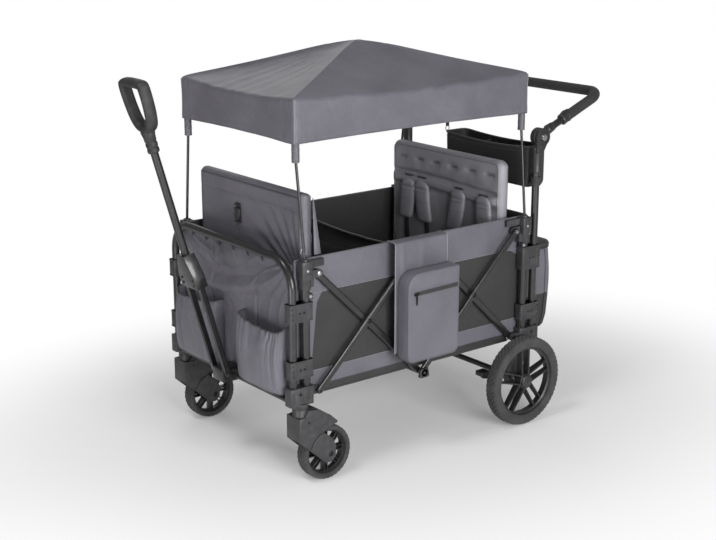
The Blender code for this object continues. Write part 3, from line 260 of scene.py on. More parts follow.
# Glass-filled nylon from a spark-eroded mould: an even grain of 1.1 mm, a little lighter on rubbed places
nylonLook = {
    "new": "#313133",
    "worn": "#414143",
    "roughness": 0.46,
    "ior": 1.53,
    "wear": (45.0, 4.0),
    "share": (0.4, 0.75),
    "change": (0.3, 0.8, 0.05, -0.1),
    "grain": (900.0, 3.0),
    "bump": (0.3, 0.0004),
}
greyNylon = wornFinish("GreyGlassFilledNylon", nylonLook)
darkNylon = wornFinish("DarkMouldedNylon", dict(nylonLook, new="#262627", worn="#343435", roughness=0.45))
rimNylon = wornFinish("BlackRimNylon", dict(nylonLook, new="#222223", worn="#303031", roughness=0.4))
gripPlastic = wornFinish("SoftTouchGripPlastic", dict(nylonLook, new="#2a2a2b", worn="#38383a", roughness=0.55))
buttonGrey = wornFinish("LightGreyAcetal", dict(nylonLook, new="#8b8b8d", worn="#9a9a9c", roughness=0.4))

# Foamed EVA: matt, with pits 1.9 mm apart, and pale dust in broad patches
foamLook = {
    "new": "#343435",
    "worn": "#464647",
    "roughness": 0.82,
    "sheen": 0.1,
    "wear": (28.0, 6.0),
    "share": (0.4, 0.75),
    "pits": 520.0,
    "bump": (0.35, 0.0005),
}
tyreRubber = wornFinish("FoamedEvaTyre", foamLook)
handleFoam = wornFinish("NitrileHandleFoam", dict(foamLook, new="#242425", worn="#303031"))

# Zinc-plated steel: bright, with faint turning marks
zincLook = {
    "new": "#c4c4c6",
    "worn": "#9b9b9e",
    "roughness": 0.3,
    "metallic": 1.0,
    "wear": (260.0, 4.0),
    "share": (0.3, 0.7),
    "change": (0.3, 0.7, 0.0, 0.15),
    "bump": (0.1, 0.0002),
}
zinc = wornFinish("ZincPlatedSteel", zincLook)
darkRivet = wornFinish("BlackOxideRivet", dict(zincLook, new="#3a3a3b", worn="#262627", roughness=0.42))
print("materials made", len(bpy.data.materials))

# ---- shape helpers: each returns (points, faces)


def joined(*shapes):
    points, faces, count = [], [], 0
    for shapePoints, shapeFaces in shapes:
        points.extend(tuple(p) for p in shapePoints)
        faces.extend(tuple(i + count for i in face) for face in shapeFaces)
        count += len(shapePoints)
    return points, faces


def across(side, one, two):
    return sorted((side * one, side * two))


# The span of a thin skin that stands out of a face and reaches a little into it
def skinOn(face, side, inside, outside):
    return sorted((face - side * inside, face + side * outside))


def bent(value, power):
    return copysign(abs(value) ** power, value)


def bell(distance, width):
    return exp(-((distance / width) ** 2))


def circle(count):
    return [(cos(2 * pi * k / count), sin(2 * pi * k / count)) for k in range(count)]


# A grid of points; placeAt gets the shares u along a row and v up the rows
def gridOf(rows, columns, placeAt):
    shares = [i / (columns - 1) for i in range(columns)]
    return np.array([[placeAt(u, j / (rows - 1)) for u in shares] for j in range(rows)], float)


# Adds points to a line, about one step apart
def filled(points, step, closed=True):
    out = []
    for a, b in zip(points, points[1:] + points[:1] if closed else points[1:]):
        count = max(1, int((Vector(b) - Vector(a)).length / step))
        out += [tuple(Vector(a).lerp(Vector(b), k / count)) for k in range(count)]
    return out if closed else out + [points[-1]]


# The places (row, column) round a grid's rim, or round a line set in from it
def rimOf(rows, columns, inset=0):
    row, column = rows - 1 - inset, columns - 1 - inset
    out = [(inset, i) for i in range(inset, column + 1)] + [(j, column) for j in range(inset + 1, row + 1)]
    out += [(row, i) for i in range(column - 1, inset - 1, -1)]
    return out + [(j, inset) for j in range(row - 1, inset, -1)]


def ringsToShape(rings, capped=True, closed=False):
    count = len(rings[0])
    points = [tuple(p) for ring in rings for p in ring]
    faces = []
    pairs = [(a, a + 1) for a in range(len(rings) - 1)]
    if closed:
        pairs.append((len(rings) - 1, 0))
    for a, b in pairs:
        for i in range(count):
            j = (i + 1) % count
            faces.append((a * count + i, a * count + j, b * count + j, b * count + i))
    if capped and not closed:
        faces.append(tuple(range(count))[::-1])
        faces.append(tuple((len(rings) - 1) * count + i for i in range(count)))
    return points, faces


def roundedPath(points, radius, steps=10):
    points = [Vector(p) for p in points]
    out = [points[0]]
    for before, corner, after in zip(points, points[1:], points[2:]):
        back, on = (before - corner).normalized(), (after - corner).normalized()
        half = back.angle(on) / 2
        reach = radius / tan(half)
        centre = corner + (back + on).normalized() * (radius / sin(half))
        start = corner + back * reach - centre
        axis = start.cross(corner + on * reach - centre).normalized()
        for step in range(steps + 1):
            out.append(centre + Matrix.Rotation((pi - 2 * half) * step / steps, 3, axis) @ start)
    out.append(points[-1])
    return out


def frames(path):
    points = [Vector(p) for p in path]
    steps = [(b - a).normalized() for a, b in zip(points, points[1:])]
    tangents = [steps[0]] + [(a + b).normalized() for a, b in zip(steps, steps[1:])] + [steps[-1]]
    normal = tangents[0].orthogonal().normalized()
    if abs(tangents[0].x) < 0.9:
        normal = (Vector((1, 0, 0)) - tangents[0] * tangents[0].x).normalized()
    out = []
    for i, tangent in enumerate(tangents):
        if i:
            normal = tangents[i - 1].rotation_difference(tangent) @ normal
        out.append((points[i], tangent, normal, tangent.cross(normal)))
    return out


# A round bar along a path; radius may be a list of one value for each point
def tube(path, radius, sidesCount=20, flat=1.0, roundEnds=0.0):
    made = frames(path)
    radii = list(radius) if hasattr(radius, "__len__") else [radius] * len(made)
    if roundEnds:
        for at, way in ((0, -1), (-1, 1)):
            (point, tangent, *rest), size = made[at], radii[at]
            shares = (0.8, 0.45, 0.0) if way > 0 else (0.0, 0.45, 0.8)
            caps = [(point + tangent * way * roundEnds * (1 - share), tangent, *rest) for share in shares]
            sizes = [size - roundEnds * (1 - sqrt(1 - (1 - share) ** 2)) for share in shares]
            made, radii = (made + caps, radii + sizes) if way > 0 else (caps + made, sizes + radii)
    rings = []
    for (point, _, normal, side), size in zip(made, radii):
        rings.append([point + normal * c * size * flat + side * s * size for c, s in circle(sidesCount)])
    return ringsToShape(rings)


# A tube whose radius changes: stops are (distance, radius) and placeAt turns a distance into a point
def steppedTube(placeAt, stops, sidesCount, roundEnds=0.0, where=()):
    return tube([placeAt(d, *where) for d, _ in stops], [r for _, r in stops], sidesCount, roundEnds=roundEnds)


def onAxis(axis, along, first, second):
    return {"X": (along, first, second), "Y": (first, along, second), "Z": (first, second, along)}[axis]


# A profile of (radius, place along the axis), turned; a closed profile makes a ring
def turned(profile, axis, centre, sidesCount=32, ring=False):
    rings = [
        [onAxis(axis, along, centre[0] + radius * c, centre[1] + radius * s) for c, s in circle(sidesCount)]
        for radius, along in profile
    ]
    return ringsToShape(rings, closed=ring)


def roundedOutline(points, radius, steps=4):
    out = []
    count = len(points)
    for i, corner in enumerate(points):
        corner = Vector(corner)
        size = radius[i] if hasattr(radius, "__len__") else radius
        before = (Vector(points[i - 1]) - corner).normalized()
        after = (Vector(points[(i + 1) % count]) - corner).normalized()
        half = before.angle(after) / 2
        reach = size / tan(half)
        centre = corner + (before + after).normalized() * (size / sin(half))
        start = corner + before * reach - centre
        turn = start.angle_signed(corner + after * reach - centre)
        for step in range(steps + 1):
            angle = -turn * step / steps
            c, s = cos(angle), sin(angle)
            out.append((centre.x + c * start.x - s * start.y, centre.y + s * start.x + c * start.y))
    return out


# Moves an outline inwards along its corners' bisectors
def insetOutline(points, amount):
    after = points[1:] + points[:1]
    area = sum(a[0] * b[1] - b[0] * a[1] for a, b in zip(points, after))
    turn = 1 if area > 0 else -1
    out = []
    for i, (point, follower) in enumerate(zip(points, after)):
        here = Vector(point)
        back, on = here - Vector(points[i - 1]), Vector(follower) - here
        if back.length < 1e-9 or on.length < 1e-9:
            out.append(tuple(here))
            continue
        back.normalize()
        on.normalize()
        normal = Vector((-back.y, back.x)) + Vector((-on.y, on.x))
        normal = normal.normalized() / max(0.5, (normal / 2).length)
        out.append(tuple(here + normal * amount * turn))
    return out


# A slab with rounded rims: the outline in the plane square to the axis
def slab(outline, axis, low, high, bevel=0.001, steps=3):
    rings = []
    bevel = min(bevel, (high - low) / 2.2)
    turns = [pi / 2 * k / steps for k in range(steps + 1)]
    levels = [(low + bevel * (1 - cos(a)), bevel * (1 - sin(a))) for a in turns]
    levels += [(low + high - along, inset) for along, inset in levels[::-1]]
    for along, inset in levels:
        ring = insetOutline(outline, inset) if inset > 1e-7 else outline
        rings.append([onAxis(axis, along, *p) for p in ring])
    return ringsToShape(rings)


def boxOutline(lowA, highA, lowB, highB):
    return [(lowA, lowB), (highA, lowB), (highA, highB), (lowA, highB)]


def block(low, high, corner=0.002, axis="Z", bevel=0.001, steps=3):
    along = "XYZ".index(axis)
    a, b = (i for i in range(3) if i != along)
    outline = roundedOutline(boxOutline(low[a], high[a], low[b], high[b]), corner, steps)
    return slab(outline, axis, low[along], high[along], bevel)


def rodOn(axis, centre, radius, low, high, bevel=0.0006, sidesCount=24):
    profile = [(radius - bevel, low), (radius, low + bevel), (radius, high - bevel), (radius - bevel, high)]
    return turned(profile, axis, centre, sidesCount)


def stadium(start, finish, radius, steps=8):
    a, b = Vector(start), Vector(finish)
    angle = atan2((b - a).y, (b - a).x)
    out = []
    for centre, turn in ((b, -pi / 2), (a, pi / 2)):
        for step in range(steps + 1):
            t = angle + turn + pi * step / steps
            out.append((centre.x + radius * cos(t), centre.y + radius * sin(t)))
    return out


# A low dome, the head of a rivet or screw, standing along +axis or -axis from its foot
def dome(axis, centre, foot, radius, height, sidesCount=16):
    profile = [(radius, foot)]
    profile += [(radius * sqrt(1 - share**2), foot + height * share) for share in (0.35, 0.65, 0.85)]
    profile.append((radius * 0.2, foot + height))
    return turned(profile[::-1] if height < 0 else profile, axis, centre, sidesCount)


# A rivet or screw head on a face that looks outwards, towards side * y
def stud(centre, face, side, lift, radius, height, sidesCount=20):
    return dome("Y", centre, face + side * lift, radius, side * height, sidesCount)


# Front and back grids joined round the rim into one closed body
def twoSided(front, back):
    rows, columns = front.shape[:2]
    count = rows * columns
    points = [tuple(p) for p in front.reshape(-1, 3)] + [tuple(p) for p in back.reshape(-1, 3)]
    faces = []
    for j in range(rows - 1):
        for i in range(columns - 1):
            a = j * columns + i
            face = (a, a + 1, a + columns + 1, a + columns)
            faces += [face, tuple(k + count for k in face[::-1])]
    rim = [j * columns + i for j, i in rimOf(rows, columns)]
    faces += [(b, a, a + count, b + count) for a, b in zip(rim, rim[1:] + rim[:1])]
    return points, faces


# A cloth grid of shape (rows, columns, 3) given thickness towards its back, as one closed shell
def shell(grid, thickness, flip=False):
    normal = np.cross(np.gradient(grid, axis=1), np.gradient(grid, axis=0))
    normal /= np.maximum(np.linalg.norm(normal, axis=2, keepdims=True), 1e-12)
    points, faces = twoSided(grid, grid - normal * (-thickness if flip else thickness))
    return points, [face[::-1] for face in faces] if flip else faces


# The flat lengths of a grid's rows and columns, which give the weave its place on the cloth
def gridUv(grid):
    rows, columns = grid.shape[:2]
    along = np.zeros((rows, columns))
    along[:, 1:] = np.cumsum(np.linalg.norm(np.diff(grid, axis=1), axis=2), axis=1)
    up = np.zeros((rows, columns))
    up[1:] = np.cumsum(np.linalg.norm(np.diff(grid, axis=0), axis=2), axis=0)
    flat = np.stack([along.mean(0)[None, :].repeat(rows, 0), up.mean(1)[:, None].repeat(columns, 1)], 2)
    return np.concatenate([flat.reshape(-1, 2)] * 2)


def wrinkle(x, y, z, scale, seed=0.0):
    return noise.noise(Vector((x / scale + seed, y / scale + seed * 0.7, z / scale - seed)))


# Makes the mesh object, gives it a weave map in metres and its material, and rides it on its body
def makePiece(name, shape, material, body, smooth=40, uv=None, nodes=()):
    points, faces = shape
    mesh = bpy.data.meshes.new(name)
    mesh.from_pydata([(x + shiftX, y, z) for x, y, z in points], [], faces)
    mesh.validate(verbose=False)
    bm = bmesh.new()
    bm.from_mesh(mesh)
    bmesh.ops.recalc_face_normals(bm, faces=bm.faces)
    bm.to_mesh(mesh)
    bm.free()
    layer = mesh.uv_layers.new(name="UVMap")
    loops = np.zeros(len(mesh.loops), int)
    mesh.loops.foreach_get("vertex_index", loops)
    if uv is not None:
        flat = uv[loops]
    else:
        co = np.array([v.co for v in mesh.vertices])
        flat = np.zeros((len(loops), 2))
        for polygon in mesh.polygons:
            main = max(range(3), key=lambda k: abs(polygon.normal[k]))
            at = list(polygon.loop_indices)
            flat[at] = co[loops[at]][:, [k for k in range(3) if k != main]]
    layer.data.foreach_set("uv", flat.astype(np.float32).ravel())
    mesh.materials.append(material)
    mesh.shade_smooth()
    mesh.set_sharp_from_angle(angle=radians(smooth))
    made = bpy.data.objects.new(name, mesh)
    bpy.context.scene.collection.objects.link(made)
    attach(made, body)
    if nodes:
        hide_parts(*nodes)
    return made


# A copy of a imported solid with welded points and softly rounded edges, for moulded parts that keep their form
def softened(name, node, material, body, width=0.0008, extra=()):
    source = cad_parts[node]
    bm = bmesh.new()
    bm.from_mesh(source.data)
    bmesh.ops.remove_doubles(bm, verts=bm.verts, dist=1e-6)
    bmesh.ops.dissolve_limit(bm, angle_limit=radians(1), verts=bm.verts, edges=bm.edges)
    sharp = [e for e in bm.edges if e.is_manifold and e.calc_face_angle(0) > radians(44)]
    bmesh.ops.bevel(bm, geom=sharp, offset=width, segments=2, profile=0.5, affect="EDGES", clamp_overlap=True)
    bmesh.ops.recalc_face_normals(bm, faces=bm.faces)
    points = [(v.co.x - shiftX, v.co.y, v.co.z) for v in bm.verts]
    bm.verts.index_update()
    faces = [tuple(v.index for v in f.verts) for f in bm.faces]
    bm.free()
    return makePiece(name, joined((points, faces), *extra), material, body, 38, nodes=(node,))


def steelTube(name, path, radius, body, node, sidesCount=28):
    return makePiece(name, tube(path, radius, sidesCount), blackPaint, body, 40, nodes=(node,))


# ---- soft goods: sheets of cloth, their hems, piping, zips and stitches


def clothPiece(name, grid, material, body, thickness=0.0012, flip=False, nodes=()):
    return makePiece(name, shell(grid, thickness, flip), material, body, 55, uv=gridUv(grid), nodes=nodes)


def blackPiece(name, grid, material, body, thickness, flip=False, nodes=()):
    return clothPiece(name, grid, material, body, thickness, flip, nodes)


# A piping, binding or hem: a thin round cord of cloth along a seam
def cord(name, path, radius, sidesCount, material, body, flat=1.0):
    return makePiece(name, tube(path, radius, sidesCount, flat), material, body, 60)


# A row of short threads laid along a path, as a lockstitch shows on the face of a cloth
def stitchRow(path, step=0.0055, length=0.0034, radius=0.00045):
    path = [Vector(p) for p in path]
    shapes = []
    rest = 0.0
    for a, b in zip(path, path[1:]):
        span = (b - a).length
        if span < 1e-6:
            continue
        at = step - rest if rest else 0.0
        while at + length < span:
            shapes.append(tube([a.lerp(b, at / span), a.lerp(b, (at + length) / span)], radius, 6))
            at += step
        rest = max(0.0, span - (at - step))
    return joined(*shapes)


def stitches(name, path, body, *size):
    return makePiece(name, stitchRow(path, *size), pipingCord, body, 60)


def gridLine(grid, row=None, column=None, lift=(0, 0, 0)):
    line = grid[row] if row is not None else grid[:, column]
    return [Vector(p) + Vector(lift) for p in line]


def gathers(piece):
    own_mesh(piece)


# ---- steel frame: arch, push tubes, posts, poles, links
post, frameX, track = place["post"], place["frame"], place["track"]
archLook = {"radius": 0.0115, "bend": 0.085, "foot": 0.253, "top": 0.645}
stops = ((-track, "foot"), (-track, "top"), (track, "top"), (track, "foot"))
archPath = roundedPath([(-frameX, y, archLook[level]) for y, level in stops], archLook["bend"], 14)
steelTube("frontArch", archPath, archLook["radius"], "front_frame", "front_frame_tube")

clampLook = {
    "inside": 0.0165,
    "outside": 0.0165,
    "half": 0.0155,
    "lip": 0.0009,
    "lipHeight": 0.0045,
    "rivet": 0.0034,
    "screw": 0.0022,
    "front": ((0.316, 0.367), (0.477, 0.529)),
    "rear": ((0.316, 0.367), (0.477, 0.55)),
}


def clampShapes(end, side, low, high):
    look = clampLook
    xs = across(end, post - look["inside"], frameX + look["outside"])
    ys = across(side, track - look["half"], track + look["half"])
    body = [block((xs[0], ys[0], low), (xs[1], ys[1], high), 0.0055, "Z", 0.0016, 4)]
    lip, tall = look["lip"], look["lipHeight"]
    for foot in (low, high - tall):
        nearCorner, farCorner = (xs[0] - lip, ys[0] - lip, foot), (xs[1] + lip, ys[1] + lip, foot + tall)
        body.append(block(nearCorner, farCorner, 0.006, "Z", 0.001, 4))
    face = side * (track + look["half"])
    height, middle = (low + high) / 2, end * (post + frameX) / 2
    for dx in (-0.0225, 0.0225):  # raised straps where the screws sit
        x, y = middle + dx, skinOn(face, side, 0.002, 0.0008)
        body.append(block((x - 0.0045, y[0], low + 0.006), (x + 0.0045, y[1], high - 0.006), 0.002, "Y", 0.0006, 3))
    rivets = []
    for dx in (-0.0072, 0.0072):
        rivets.append(stud((middle + dx, height), face, side, -0.0002, look["rivet"], 0.0022, 16))
    outer = end * (frameX + 0.0105)
    for dz in (-0.0145, 0.0, 0.0145):
        rivets.append(stud((outer, height + dz), face, side, 0.0006, look["screw"], 0.0008, 12))
    return body, rivets


for end, endName, side, title, node in corners:
    made = [clampShapes(end, side, low, high) for low, high in clampLook[endName]]
    bodies, rivets = (sum((shapes[k] for shapes in made), []) for k in (0, 1))
    makePiece(f"{title}Clamps", joined(*bodies), greyNylon, f"{endName}_frame", 35)
    makePiece(f"{title}ClampRivets", joined(*rivets), darkRivet, f"{endName}_frame", 50)

postLook = {"radius": 0.0125, "foot": 0.2625, "top": 0.629, "button": {"front": 0.543, "rear": 0.5565}}
poleLook = {"radius": 0.004, "x": 0.4325 - 0.0145, "y": 0.284 - 0.0145, "sleeve": 0.0112, "low": 0.906, "top": 1.06}
for end, endName, side, title, node in corners:
    body = f"{endName}_posts"
    at = (end * post, side * track)
    line = [(*at, postLook["foot"]), (*at, postLook["top"])]
    steelTube(f"{title}Post", line, postLook["radius"], body, f"{node}_post")
    top = (end * poleLook["x"], side * poleLook["y"])
    line = roundedPath([(*at, 0.6325), (*at, 0.646), (*top, 0.916), (*top, poleLook["top"])], 0.05, 6)
    steelTube(f"{title}CanopyPole", line, poleLook["radius"], body, f"{node}_canopy_pole", 16)
    line = [(*top, float(z)) for z in np.linspace(poleLook["low"], poleLook["top"], 15)]
    radii = [poleLook["sleeve"] - 0.0006 * abs(sin(k * 1.7 + end + side)) for k in range(15)]
    sleeve = tube(line, radii, 20, roundEnds=0.0012)
    makePiece(f"{title}PoleSleeve", sleeve, sleeveCloth, body, 40)
    x, y, z = end * (post - 0.0105), side * (track + 0.006), postLook["button"][endName]
    deep, out = skinOn(y, side, 0.01, 0.006)
    housing = block((x - 0.0075, deep, z - 0.009), (x + 0.0075, out, z + 0.009), 0.003, "Y", 0.0012, 3)
    makePiece(f"{title}LatchHousing", housing, darkNylon, body, 35)
    knob = stud((x, z), y, side, 0.0055, 0.0052, 0.0036)
    makePiece(f"{title}LatchButton", knob, buttonGrey, body, 50)

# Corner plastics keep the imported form, with rounded edges, screws and ribs
jointHeights = ("jointLow", "jointHigh")
hubLook = {"face": 0.0165, "height": 0.616, "pin": (0.3125, 0.0075, 0.0024), "bolt": (0.4445, 0.272)}
for end, endName, side, title, node in corners:
    x, face = end * post, side * (track + hubLook["face"])
    lowPin, highPin = (stud((end * place["jointX"], place[key]), 0, side, *hubLook["pin"]) for key in jointHeights)
    capProfile = [(0.0115, 0.6405), (0.0105, 0.6465), (0.0075, 0.6475), (0.0048, 0.6475), (0.0048, 0.6405)]
    ribs = [turned(capProfile, "Z", (x, side * track), 24, ring=True)]
    y = skinOn(face, side, 0.002, 0.0007)
    for dz in (-0.014, 0.014):
        z = hubLook["height"] + dz
        ribs.append(block((x - 0.0135, y[0], z - 0.004), (x + 0.0135, y[1], z + 0.004), 0.002, "Y", 0.0006))
    softened(f"{title}Hub", f"{node}_hub", greyNylon, f"{endName}_posts", 0.0012, ribs)
    screw = stud((x, hubLook["height"]), face, side, -0.0003, 0.0042, 0.0018)
    makePiece(f"{title}HubScrews", joined(screw, highPin), zinc, f"{endName}_posts", 50)
    ribs = []
    y = skinOn(face, side, 0.002, 0.0006)
    for start in (0.404, 0.424, 0.462):
        xs = across(end, start, start + 0.009)
        ribs.append(block((xs[0], y[0], 0.25), (xs[1], y[1], 0.28), 0.002, "Y", 0.0005))
    softened(f"{title}Bracket", f"{node}_bracket", greyNylon, f"{endName}_frame", 0.0014, ribs)
    boltX, boltZ = hubLook["bolt"]
    bolt = stud((end * boltX, boltZ), face, side, -0.0003, 0.0046, 0.0024)
    makePiece(f"{title}BracketBolts", joined(bolt, lowPin), darkRivet, f"{endName}_frame", 50)

# Scissor links: flat-oval steel tube, 20 by 11 mm, flattened on its ends
linkLook = {"radius": 0.01, "edge": 0.0046, "outer": (0.3015, 0.3125), "inner": (0.2875, 0.2985), "rivet": 0.3124}
jointX, jointLow, jointHigh = place["jointX"], place["jointLow"], place["jointHigh"]
middleHigh, middleLow = place["middleHigh"], place["middleLow"]
share = (jointHigh - jointLow) / (jointHigh - jointLow + middleHigh - middleLow)
crossX, crossZ = jointX * (1 - share), jointHigh + (middleLow - jointHigh) * share
linkPlan = (
    ("front_rising", "a", (-jointX, jointLow), (0, middleHigh), "outer"),
    ("front_falling", "b", (-jointX, jointHigh), (0, middleLow), "inner"),
    ("rear_falling", "c", (jointX, jointLow), (0, middleHigh), "inner"),
    ("rear_rising", "d", (jointX, jointHigh), (0, middleLow), "outer"),
)
rivetPlan = (
    ("FrontCrossing", "a", (-crossX, crossZ), 0.0026),
    ("RearCrossing", "d", (crossX, crossZ), 0.0026),
    ("MiddleTop", "a", (0, middleHigh), 0.0022),
)
for side, hand in sides:
    for linkName, letter, start, finish, layer in linkPlan:
        low, high = across(side, *linkLook[layer])
        bar = slab(stadium(start, finish, linkLook["radius"], 10), "Y", low, high, linkLook["edge"], 6)
        title = hand + "".join(w.capitalize() for w in linkName.split("_")) + "Link"
        nodes = (f"{hand}_{linkName}_link",)
        makePiece(title, bar, blackPaint, f"scissor_{letter}", 34, nodes=nodes)
    for title, letter, centre, height in rivetPlan:
        head = stud(centre, 0, side, linkLook["rivet"], 0.0075, height)
        makePiece(f"{hand}{title}Rivet", head, darkRivet, f"scissor_{letter}", 50)

softened("middleFootTube", "middle_crossbar", blackPaint, "middle_foot", 0.0008)
feet = []
for side, hand in sides:
    outline = roundedOutline([(-0.019, 0.2225), (0.019, 0.2225), (0.014, 0.2505), (-0.014, 0.2505)], 0.005, 5)
    feet.append(slab(outline, "Y", *across(side, 0.3125, 0.3225), 0.002, 4))
    feet.append(stud((0, middleLow), 0, side, 0.3223, 0.005, 0.0022, 18))
makePiece("middleFeet", joined(*feet), darkNylon, "middle_foot", 35)

barLook = {"radius": 0.0095, "height": 0.248, "reach": 0.2832}
line = [(frameX, side * barLook["reach"], barLook["height"]) for side, hand in sides]
steelTube("rearCrossTube", line, barLook["radius"], "rear_frame", "rear_crossbar", 24)
softened("frontCrossTube", "front_crossbar", blackPaint, "front_frame", 0.001)

# Push tubes with their sockets, hinge discs and bolts: profiles are (radius, height) or (radius, place outwards)
pushLook = {
    "hub": (0.469, 0.882),
    "tube": (0.253, 0.85),
    "socket": (
        (0.013, 0.7735), (0.0158, 0.776), (0.0158, 0.782), (0.015, 0.784), (0.015, 0.842), (0.0158, 0.845),
        (0.015, 0.853),
    ),
    "web": [(0.4435, 0.834), (0.4715, 0.834), (0.4905, 0.868), (0.4455, 0.88)],
    "disc": (
        (0.0255, 0.3035), (0.027, 0.305), (0.027, 0.3155), (0.0255, 0.3175), (0.0215, 0.3175), (0.0205, 0.316),
        (0.015, 0.316), (0.014, 0.318),
    ),
    "bolt": (
        (0.0055, 0.3), (0.0055, 0.3178), (0.0105, 0.3178), (0.0105, 0.3196), (0.0092, 0.3216), (0.005, 0.322),
        (0.0045, 0.3208),
    ),
    "nut": ((0.0055, 0.286), (0.0055, 0.2837), (0.009, 0.2837), (0.008, 0.28)),
}
for side, hand in sides:
    at = (frameX, side * track)
    steelTube(f"{hand}PushTube", [(*at, z) for z in pushLook["tube"]], 0.0115, "rear_frame", f"{hand}_push_tube")
    socket = turned(pushLook["socket"], "Z", at, 28)
    web = slab(roundedOutline(pushLook["web"], 0.004, 4), "Y", *across(side, 0.3035, track + 0.0155), 0.002, 4)
    disc, bolt, nut = (
        turned([(r, side * y) for r, y in pushLook[key]], "Y", pushLook["hub"], count)
        for key, count in (("disc", 48), ("bolt", 28), ("nut", 28))
    )
    makePiece(f"{hand}PushHinge", joined(socket, web, disc), darkNylon, "rear_frame", 32)
    makePiece(f"{hand}PushHingeBolt", joined(bolt, nut), zinc, "rear_frame", 40)
print("frame tubes and corner plastics made")

# ---- push handle: two arms, collars and a foam grip
handleLook = {"reach": 0.272, "rise": 0.11, "lane": 0.2915, "bend": 0.045, "tube": 0.011, "foam": 0.0158}
collarLook = {"low": 0.105, "high": 0.137, "rim": 0.0178, "waist": 0.0166, "edge": 0.015}
armAngle = atan2(handleLook["rise"], handleLook["reach"])
armLength = hypot(handleLook["rise"], handleLook["reach"])


def onArm(distance, side, up=0.0):
    hubX, hubZ = pushLook["hub"]
    c, s = cos(armAngle), sin(armAngle)
    return Vector((hubX + distance * c - up * s, side * handleLook["lane"], hubZ + distance * s + up * c))


def armLoop(start, steps):
    stops = [onArm(start, -1), onArm(armLength, -1), onArm(armLength, 1), onArm(start, 1)]
    return roundedPath(stops, handleLook["bend"], steps)


steelTube("pushArms", armLoop(0.022, 12), handleLook["tube"], "push_handle", "push_arms")
low, high = collarLook["low"], collarLook["high"]
rim, waist, edge = collarLook["rim"], collarLook["waist"], collarLook["edge"]
collarStops = (
    (low, edge), (low + 0.004, rim), (low + 0.01, waist), (high - 0.01, waist), (high - 0.004, rim), (high, edge),
)
for side, hand in sides:
    y0, y1 = across(side, 0.2842, 0.3028)
    knuckle = [(0.0255, y0), (0.027, y0 + 0.0015), (0.027, y1 - 0.001), (0.0262, y1)]
    lever = [onArm(low + 0.002, side, 0.0165), onArm(low + 0.016, side, 0.0195), onArm(high + 0.004, side, 0.018)]
    shapes = (
        turned(knuckle, "Y", pushLook["hub"], 48),
        steppedTube(onArm, ((0.02, 0.0112), (0.062, 0.0112)), 28, 0.001, (side,)),  # neck
        steppedTube(onArm, ((0.038, 0.0118), (0.043, 0.015), (0.066, 0.0132)), 28, 0.001, (side,)),  # cuff
        steppedTube(onArm, collarStops, 28, 0.0006, (side,)),
        tube(lever, [0.0035, 0.0045, 0.003], 16, roundEnds=0.002),  # thumb lever on the collar
    )
    makePiece(f"{hand}PushKnuckle", joined(*shapes), darkNylon, "push_handle", 35)
foam = tube(armLoop(high + 0.0005, 14), handleLook["foam"], 32, roundEnds=0.003)
makePiece("pushFoamGrip", foam, handleFoam, "push_handle", 50, nodes=("push_grip",))

# ---- pull handle: fork, telescopic tube, neck and D-shaped grip
pullLook = {
    "pivot": (-0.497, 0.262),
    "lean": 16.1,
    "base": 0.738,
    "length": 0.16,
    "half": 0.062,
    "bar": 0.0215,
    "depth": 0.034,
}
lean = radians(pullLook["lean"])
pullUp = Vector((-sin(lean), 0, cos(lean)))
pullFront = Vector((-cos(lean), 0, -sin(lean)))


def onPull(distance, sideways=0.0, front=0.0):
    x, z = pullLook["pivot"]
    return Vector((x, 0, z)) + pullUp * distance + Vector((0, sideways, 0)) + pullFront * front


def pullBead(low, high, sideways, front, radius, count):
    return tube([onPull(low, sideways, front), onPull(high, sideways, front)], radius, count, roundEnds=0.001)


softened("pullFork", "pull_fork", blackPaint, "pull_fork", 0.0016)
# the beads are real ridges on the fork's bars; their lighter colour is a painted highlight along them
beads = [pullBead(0.02, 0.27, side * 0.033, front, 0.0016, 12) for side in (-1, 1) for front in (0.0078, -0.0078)]
makePiece("pullForkBeads", joined(*beads), highlightGreyPaint, "pull_fork", 50)
screws = []
for side in (-1, 1):
    for distance in (0.296, 0.312):
        centre = onPull(distance, side * 0.0275, 0.0173)
        screwStops = ((0, 0.0036), (0.0012, 0.0036), (0.0018, 0.002))
        screws.append(steppedTube(lambda d: centre + pullFront * d, screwStops, 18))
makePiece("pullForkScrews", joined(*screws), darkRivet, "pull_fork", 50)
shaft = tube([onPull(0.291), onPull(0.745)], 0.011, 28)
makePiece("pullTube", shaft, blackPaint, "pull_grip", 40)
# two beads down the tube's front, whose lighter colour paints the highlight along the tube
beads = [pullBead(0.4, 0.688, side * 0.0069, 0.0072, 0.0012, 10) for side in (-1, 1)]
makePiece("pullTubeBeads", joined(*beads), highlightGreyPaint, "pull_grip", 50)
neckPlaces = (0.69, 0.692, 0.7, 0.702, 0.706, 0.708, 0.716, 0.718, 0.722, 0.724, 0.748)
neckSizes = (0.015, 0.0165, 0.0165, 0.0152, 0.0152, 0.0165, 0.0165, 0.0152, 0.0152, 0.0165, 0.0175)
neck = steppedTube(onPull, list(zip(neckPlaces, neckSizes)), 32)
base, half, reach = pullLook["base"], pullLook["half"], pullLook["length"]
bar = pullLook["bar"] / 2
loopCorners = [
    (0.0, base + 0.018), (half - 0.03, base + 0.026), (half - bar - 0.004, base + 0.07),
    (half - bar, base + reach - bar - 0.006), (half - bar - 0.012, base + reach - bar),
]
smooth = [Vector(p) for p in loopCorners] + [Vector((-y, d)) for y, d in loopCorners[:0:-1]]
for _ in range(3):  # corner cutting turns the few points into a smooth closed loop
    smooth = [p * a + q * (1 - a) for p, q in zip(smooth, smooth[1:] + smooth[:1]) for a in (0.75, 0.25)]
scaleY = (half - bar) / max(p.x for p in smooth)
topNow, lowNow = max(p.y for p in smooth), min(p.y for p in smooth)
stretch = (base + reach - bar - lowNow) / (topNow - lowNow)
smooth = [Vector((p.x * scaleY, lowNow + (p.y - lowNow) * stretch)) for p in smooth]
rings = []
